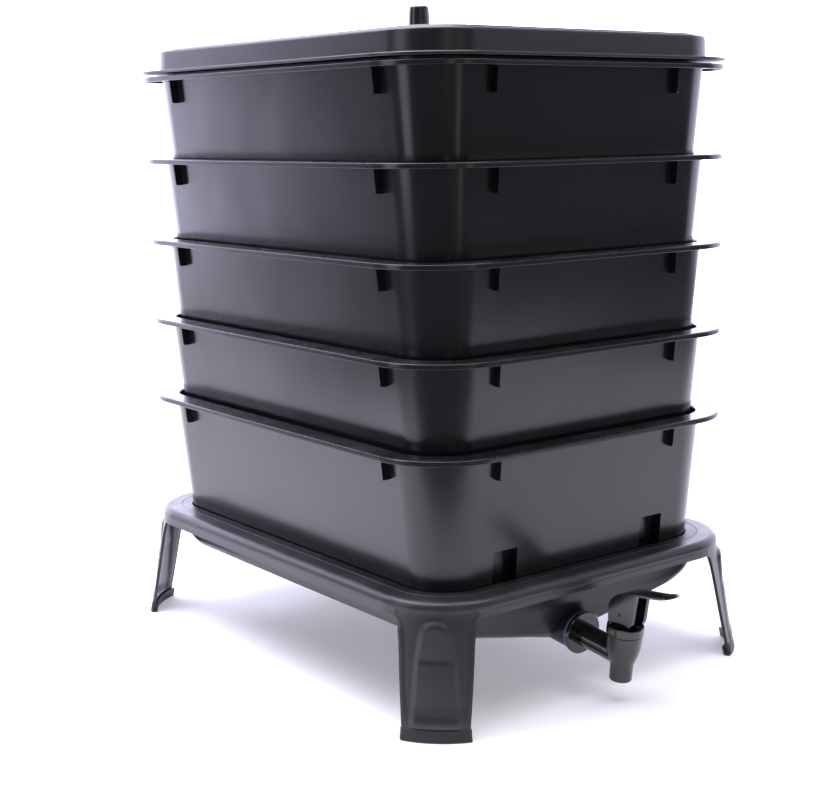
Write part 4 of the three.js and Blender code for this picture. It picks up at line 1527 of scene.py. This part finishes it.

# %% [markdown]
# The tap's parts come last: body, bonnet, seals and nut stay with the stand, the stem, which slides
# up when the tap opens, rides on a body of its own, and the lever, which turns on the stem's pin, on
# another.

# %% The tap's pieces


def ring_mesh(name, radius, hole, from_y, to_y, rounding):
    low, high = min(from_y, to_y), max(from_y, to_y)
    outer = arc((low + rounding, radius - rounding), rounding, 180, 90, 3)
    outer += arc((high - rounding, radius - rounding), rounding, 90, 0, 3)
    section = [(r, y) for y, r in outer] + [(hole, high), (hole, low)]
    points, steps = [], 72
    for r, y in section:
        points += [(r * math.cos(2 * math.pi * i / steps), y, TAP_Z + r * math.sin(2 * math.pi * i / steps))
                   for i in range(steps)]
    return mesh_from(name, points, rows_to_faces(len(section), steps, loop=True))


GAP = 0.3
GASKET = (BOSS_FACE_Y - GAP - 2.3, BOSS_FACE_Y - GAP)
SEAL_RING = (BOSS_FACE_Y + 2.5 + GAP, BOSS_FACE_Y + 4.0 + GAP)
NUT_SPAN = (SEAL_RING[1] + GAP, SEAL_RING[1] + GAP + 8.0)


def nut_mesh():
    low, high = NUT_SPAN
    turns = [math.radians(30 + 60 * i) for i in range(6)]
    flats = [(14.2 * math.cos(turn), 14.2 * math.sin(turn)) for turn in turns]
    rows = [[(x, y, TAP_Z + z) for x, z in flats] for y in (low, high)]
    nut = hidden_tool("nut", stack_mesh("nut", rows))
    boolean(nut, "DIFFERENCE", lying_cylinder("nut hole", 9.8, low - 1, high + 1, TAP_Z, 48))
    soften(nut, 0.6)
    return nut


def tap_piece(name, mesh, body, slot, material, node, sharp_degrees=34.0):
    """A piece of the tap, leant with it."""
    return dress(tilted(piece_from(name + "_finished", mesh, sharp_degrees)), body, slot, material, node)


gasket = ring_mesh("gasket", 18.75, 9.9, *GASKET, 0.6)
tap_piece("gasket", gasket, "stand", "blue_seal", BLUE, "tap_gasket")
seal_ring = ring_mesh("seal ring", 14.2, 9.9, *SEAL_RING, 0.5)
tap_piece("seal_ring", seal_ring, "stand", "dark_rubber", RUBBER, "tap_seal_ring")
nut_tool = nut_mesh()
tap_piece("nut", nut_tool.data.copy(), "stand", "nut_plastic", NUT, "tap_nut")
tap_piece("tap_body", tap_body.data.copy(), "stand", "tap_plastic", TAP, "tap_body", 40)
bonnet = turned_mesh("bonnet", bonnet_section(), TAP_AXIS_Y, 72)
tap_piece("bonnet", bonnet, "stand", "tap_plastic", TAP, "tap_bonnet")

stem_tool = stem_mesh()
soften(stem_tool, 0.4)
tap_piece("stem", stem_tool.data.copy(), "stem_body", "nut_plastic", NUT, "tap_stem")
valve_low, valve_high = SEAT_TOP + GAP, SEAT_TOP + GAP + 3.5
valve_section = [(0, valve_low), (7.0, valve_low), (7.5, valve_low + 0.5)]
valve_section += [(7.5, valve_high - 0.5), (7.0, valve_high), (0, valve_high)]
valve = turned_mesh("valve seal", valve_section, TAP_AXIS_Y, 48)
tap_piece("valve_seal", valve, "stem_body", "dark_rubber", RUBBER, "tap_valve_seal")

soften(tap_lever, 0.35)
tap_piece("lever", tap_lever.data.copy(), "lever_body", "tap_plastic", TAP, "tap_lever", 40)
pin_tool = cross_bar("pin", 2.0, 9.0, 32)
soften(pin_tool, 0.3)
tap_piece("pin", pin_tool.data.copy(), "lever_body", "nut_plastic", NUT, "lever_pin")

# %% [markdown]
# The valve's spring is a coil, so Geometry Nodes draw it: a helix as the path, a small circle as
# the wire, and the ends capped. Its radius, height, turns and wire are named inputs.

# %% The spring's tree


def spring_tree():
    labels = [("Radius", "NodeSocketFloat"), ("Height", "NodeSocketFloat"), ("Turns", "NodeSocketFloat"),
              ("Wire", "NodeSocketFloat"), ("Centre Y", "NodeSocketFloat"), ("Low Z", "NodeSocketFloat")]
    tree, start, end = new_geometry_tree("coil spring", labels)
    given = start.outputs
    path = add_node(tree, "GeometryNodeCurveSpiral", Resolution=36, Rotations=given["Turns"],
                    Start_Radius=given["Radius"], End_Radius=given["Radius"], Height=given["Height"])
    wire_ring = add_node(tree, "GeometryNodeCurvePrimitiveCircle", Resolution=12, Radius=given["Wire"])
    coil = add_node(tree, "GeometryNodeCurveToMesh", Curve=path.outputs[0],
                    Profile_Curve=wire_ring.outputs[0], Fill_Caps=True)
    shift = add_node(tree, "ShaderNodeCombineXYZ", Y=given["Centre Y"], Z=given["Low Z"])
    moved = add_node(tree, "GeometryNodeTransform", Geometry=coil.outputs[0], Translation=shift.outputs[0])
    real = add_node(tree, "GeometryNodeRealizeInstances", Geometry=moved.outputs[0])
    painted = add_node(tree, "GeometryNodeSetMaterial", Geometry=real.outputs[0], Material=STEEL)
    tree.links.new(painted.outputs[0], end.inputs["Geometry"])
    return tree


WIRE = 0.58
spring_low = STEM_LOW + 1.5 + GAP + WIRE
spring_high = BONNET_TOP - 4.0 - GAP - WIRE
coil = run_tree(hidden_tool("coil", bpy.data.meshes.new("coil")), spring_tree(), {
    "Radius": 5.6 * MM, "Height": (spring_high - spring_low) * MM, "Turns": 6.0, "Wire": WIRE * MM,
    "Centre Y": TAP_AXIS_Y * MM + MIDDLE_Y, "Low Z": spring_low * MM,
})
spring_mesh = coil.data.copy()
outward(spring_mesh)
spring = tilted(piece_from("spring_finished", spring_mesh))
dress(spring, "stem_body", "steel", STEEL, "tap_spring")
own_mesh(spring)

# %% [markdown]
# The tools have done their work, so they go, and only pieces stay in the scene.

# %% Clearing the tools away
discard(gusset_tool, niche_wall_tool, niche_room_tool, lug_tool, slot_tool, tray_tub, lid_shell,
        sump_shell, tap_body, tap_lever, nut_tool, stem_tool, pin_tool, coil)

# %% [markdown]
# ## Light
# The photograph was taken on white paper in front of a wide white sweep. The faces turned to the
# camera mirror what lies beside and behind it: the sweep's left end in the left faces, the paper in
# the lowest trays, and the dark room in the corner and the right faces. So the stage is a pale
# floor, a bright curved backdrop with a dimmer side, and a few soft panels, in a dim room.

# %% Floor and backdrop
SWEEP_RADIUS = 2.6
SWEEP_HIGH = 2.4
SWEEP_START = 17
SWEEP_END = 121
SWEEP_STEPS = 48
SWEEP_GLOW = 2.5
SWEEP_COLOUR = (0.94, 0.93, 1.26, 1)
SIDE_START = -24
SIDE_GLOW = 0.9
PAPER_NEAR = -0.6
PAPER_LEFT = [(-0.6, 0.8), (0.2, 0.95)]
PAPER_RIGHT = -1.15


def stage_object(name, points, faces, material):
    mesh = bpy.data.meshes.new(name)
    mesh.from_pydata(points, [], faces)
    mesh.materials.append(material)
    obj = bpy.data.objects.new(name, mesh)
    bpy.context.scene.collection.objects.link(obj)
    return obj


def sweep_foot(start, end):
    """The sweep's foot; azimuths are counted from +X towards +Y."""
    turns = [start + (end - start) * i / SWEEP_STEPS for i in range(SWEEP_STEPS + 1)]
    turns = [math.radians(turn) for turn in turns]
    return [(SWEEP_RADIUS * math.cos(turn), SWEEP_RADIUS * math.sin(turn), 0) for turn in turns]


def add_floor():
    material, tree, shader = new_material("pale floor")
    shader.inputs["Base Color"].default_value = grey(0.86, 1.01)
    shader.inputs["Roughness"].default_value = 0.8
    shader.inputs["Emission Color"].default_value = grey(1.0, 1.02)
    shader.inputs["Emission Strength"].default_value = 0.2
    ahead = Vector((math.cos(math.radians(CAMERA_YAW)), math.sin(math.radians(CAMERA_YAW)), 0))
    left = Vector((-ahead.y, ahead.x, 0))
    foot = sweep_foot(SWEEP_START, SWEEP_END)
    edge = [(PAPER_NEAR, PAPER_RIGHT)] + foot + list(reversed(PAPER_LEFT))
    points = [p if len(p) == 3 else tuple(ahead * p[0] + left * p[1]) for p in edge]
    stage_object("floor", points, [tuple(range(len(points)))], material)


def add_sweep(name, start, end, glow):
    """A curved white wall behind the object."""
    material, tree, shader = new_material("glowing " + name)
    shader.inputs["Base Color"].default_value = grey(0.9, 1.01)
    shader.inputs["Emission Color"].default_value = SWEEP_COLOUR
    shader.inputs["Emission Strength"].default_value = glow
    points = []
    for x, y, z in sweep_foot(start, end):
        points += [(x, y, z), (x, y, SWEEP_HIGH)]
    faces = [(2 * i, 2 * i + 2, 2 * i + 3, 2 * i + 1) for i in range(SWEEP_STEPS)]
    stage_object(name, points, faces, material)


add_floor()
add_sweep("sweep", SWEEP_START, SWEEP_END, SWEEP_GLOW)
add_sweep("sweep side", SIDE_START, SWEEP_START, SIDE_GLOW)
print("stage: floor and sweep")

# %% [markdown]
# Soft panels light the paper from above and draw the streaks in the rounded corner.

# %% World and panels
world = bpy.data.worlds.new("dim room")
bpy.context.scene.world = world
world.use_nodes = True
world.node_tree.nodes["Background"].inputs[0].default_value = (0.95, 0.95, 1.08, 1)
world.node_tree.nodes["Background"].inputs[1].default_value = 0.2
bpy.context.scene.view_settings.view_transform = "Standard"


def soft_panel(name, azimuth, distance, height, size, glow, colour=(1, 1, 1)):
    """An area light facing the object; glow is its radiance."""
    data = bpy.data.lights.new(name, "AREA")
    data.shape = "RECTANGLE"
    data.size, data.size_y = size
    data.energy = glow * math.pi * size[0] * size[1]
    data.color = colour
    light = bpy.data.objects.new(name, data)
    angle = math.radians(azimuth)
    spot = Vector((distance * math.cos(angle), distance * math.sin(angle), height))
    aim = Vector((0, 0, 0.3)) - spot
    light.matrix_world = Matrix.Translation(spot) @ aim.to_track_quat("-Z", "Y").to_matrix().to_4x4()
    bpy.context.scene.collection.objects.link(light)


soft_panel("overhead", 128, 0.55, 2.1, (1.9, 1.9), 8.0, (0.96, 0.96, 1.1))
soft_panel("front overhead", -62, 0.9, 2.2, (1.2, 1.2), 4.0)
soft_panel("left strip", 168, 2.0, 0.8, (0.7, 1.7), 1.9, (0.95, 0.95, 1.1))
soft_panel("right strip", -90, 2.2, 0.5, (0.2, 1.2), 1.3)
soft_panel("corner streak", -112, 2.2, 0.95, (0.16, 1.1), 2.2)
soft_panel("right wall", -42, 2.4, 1.15, (2.0, 0.8), 0.9, (0.95, 0.95, 1.1))
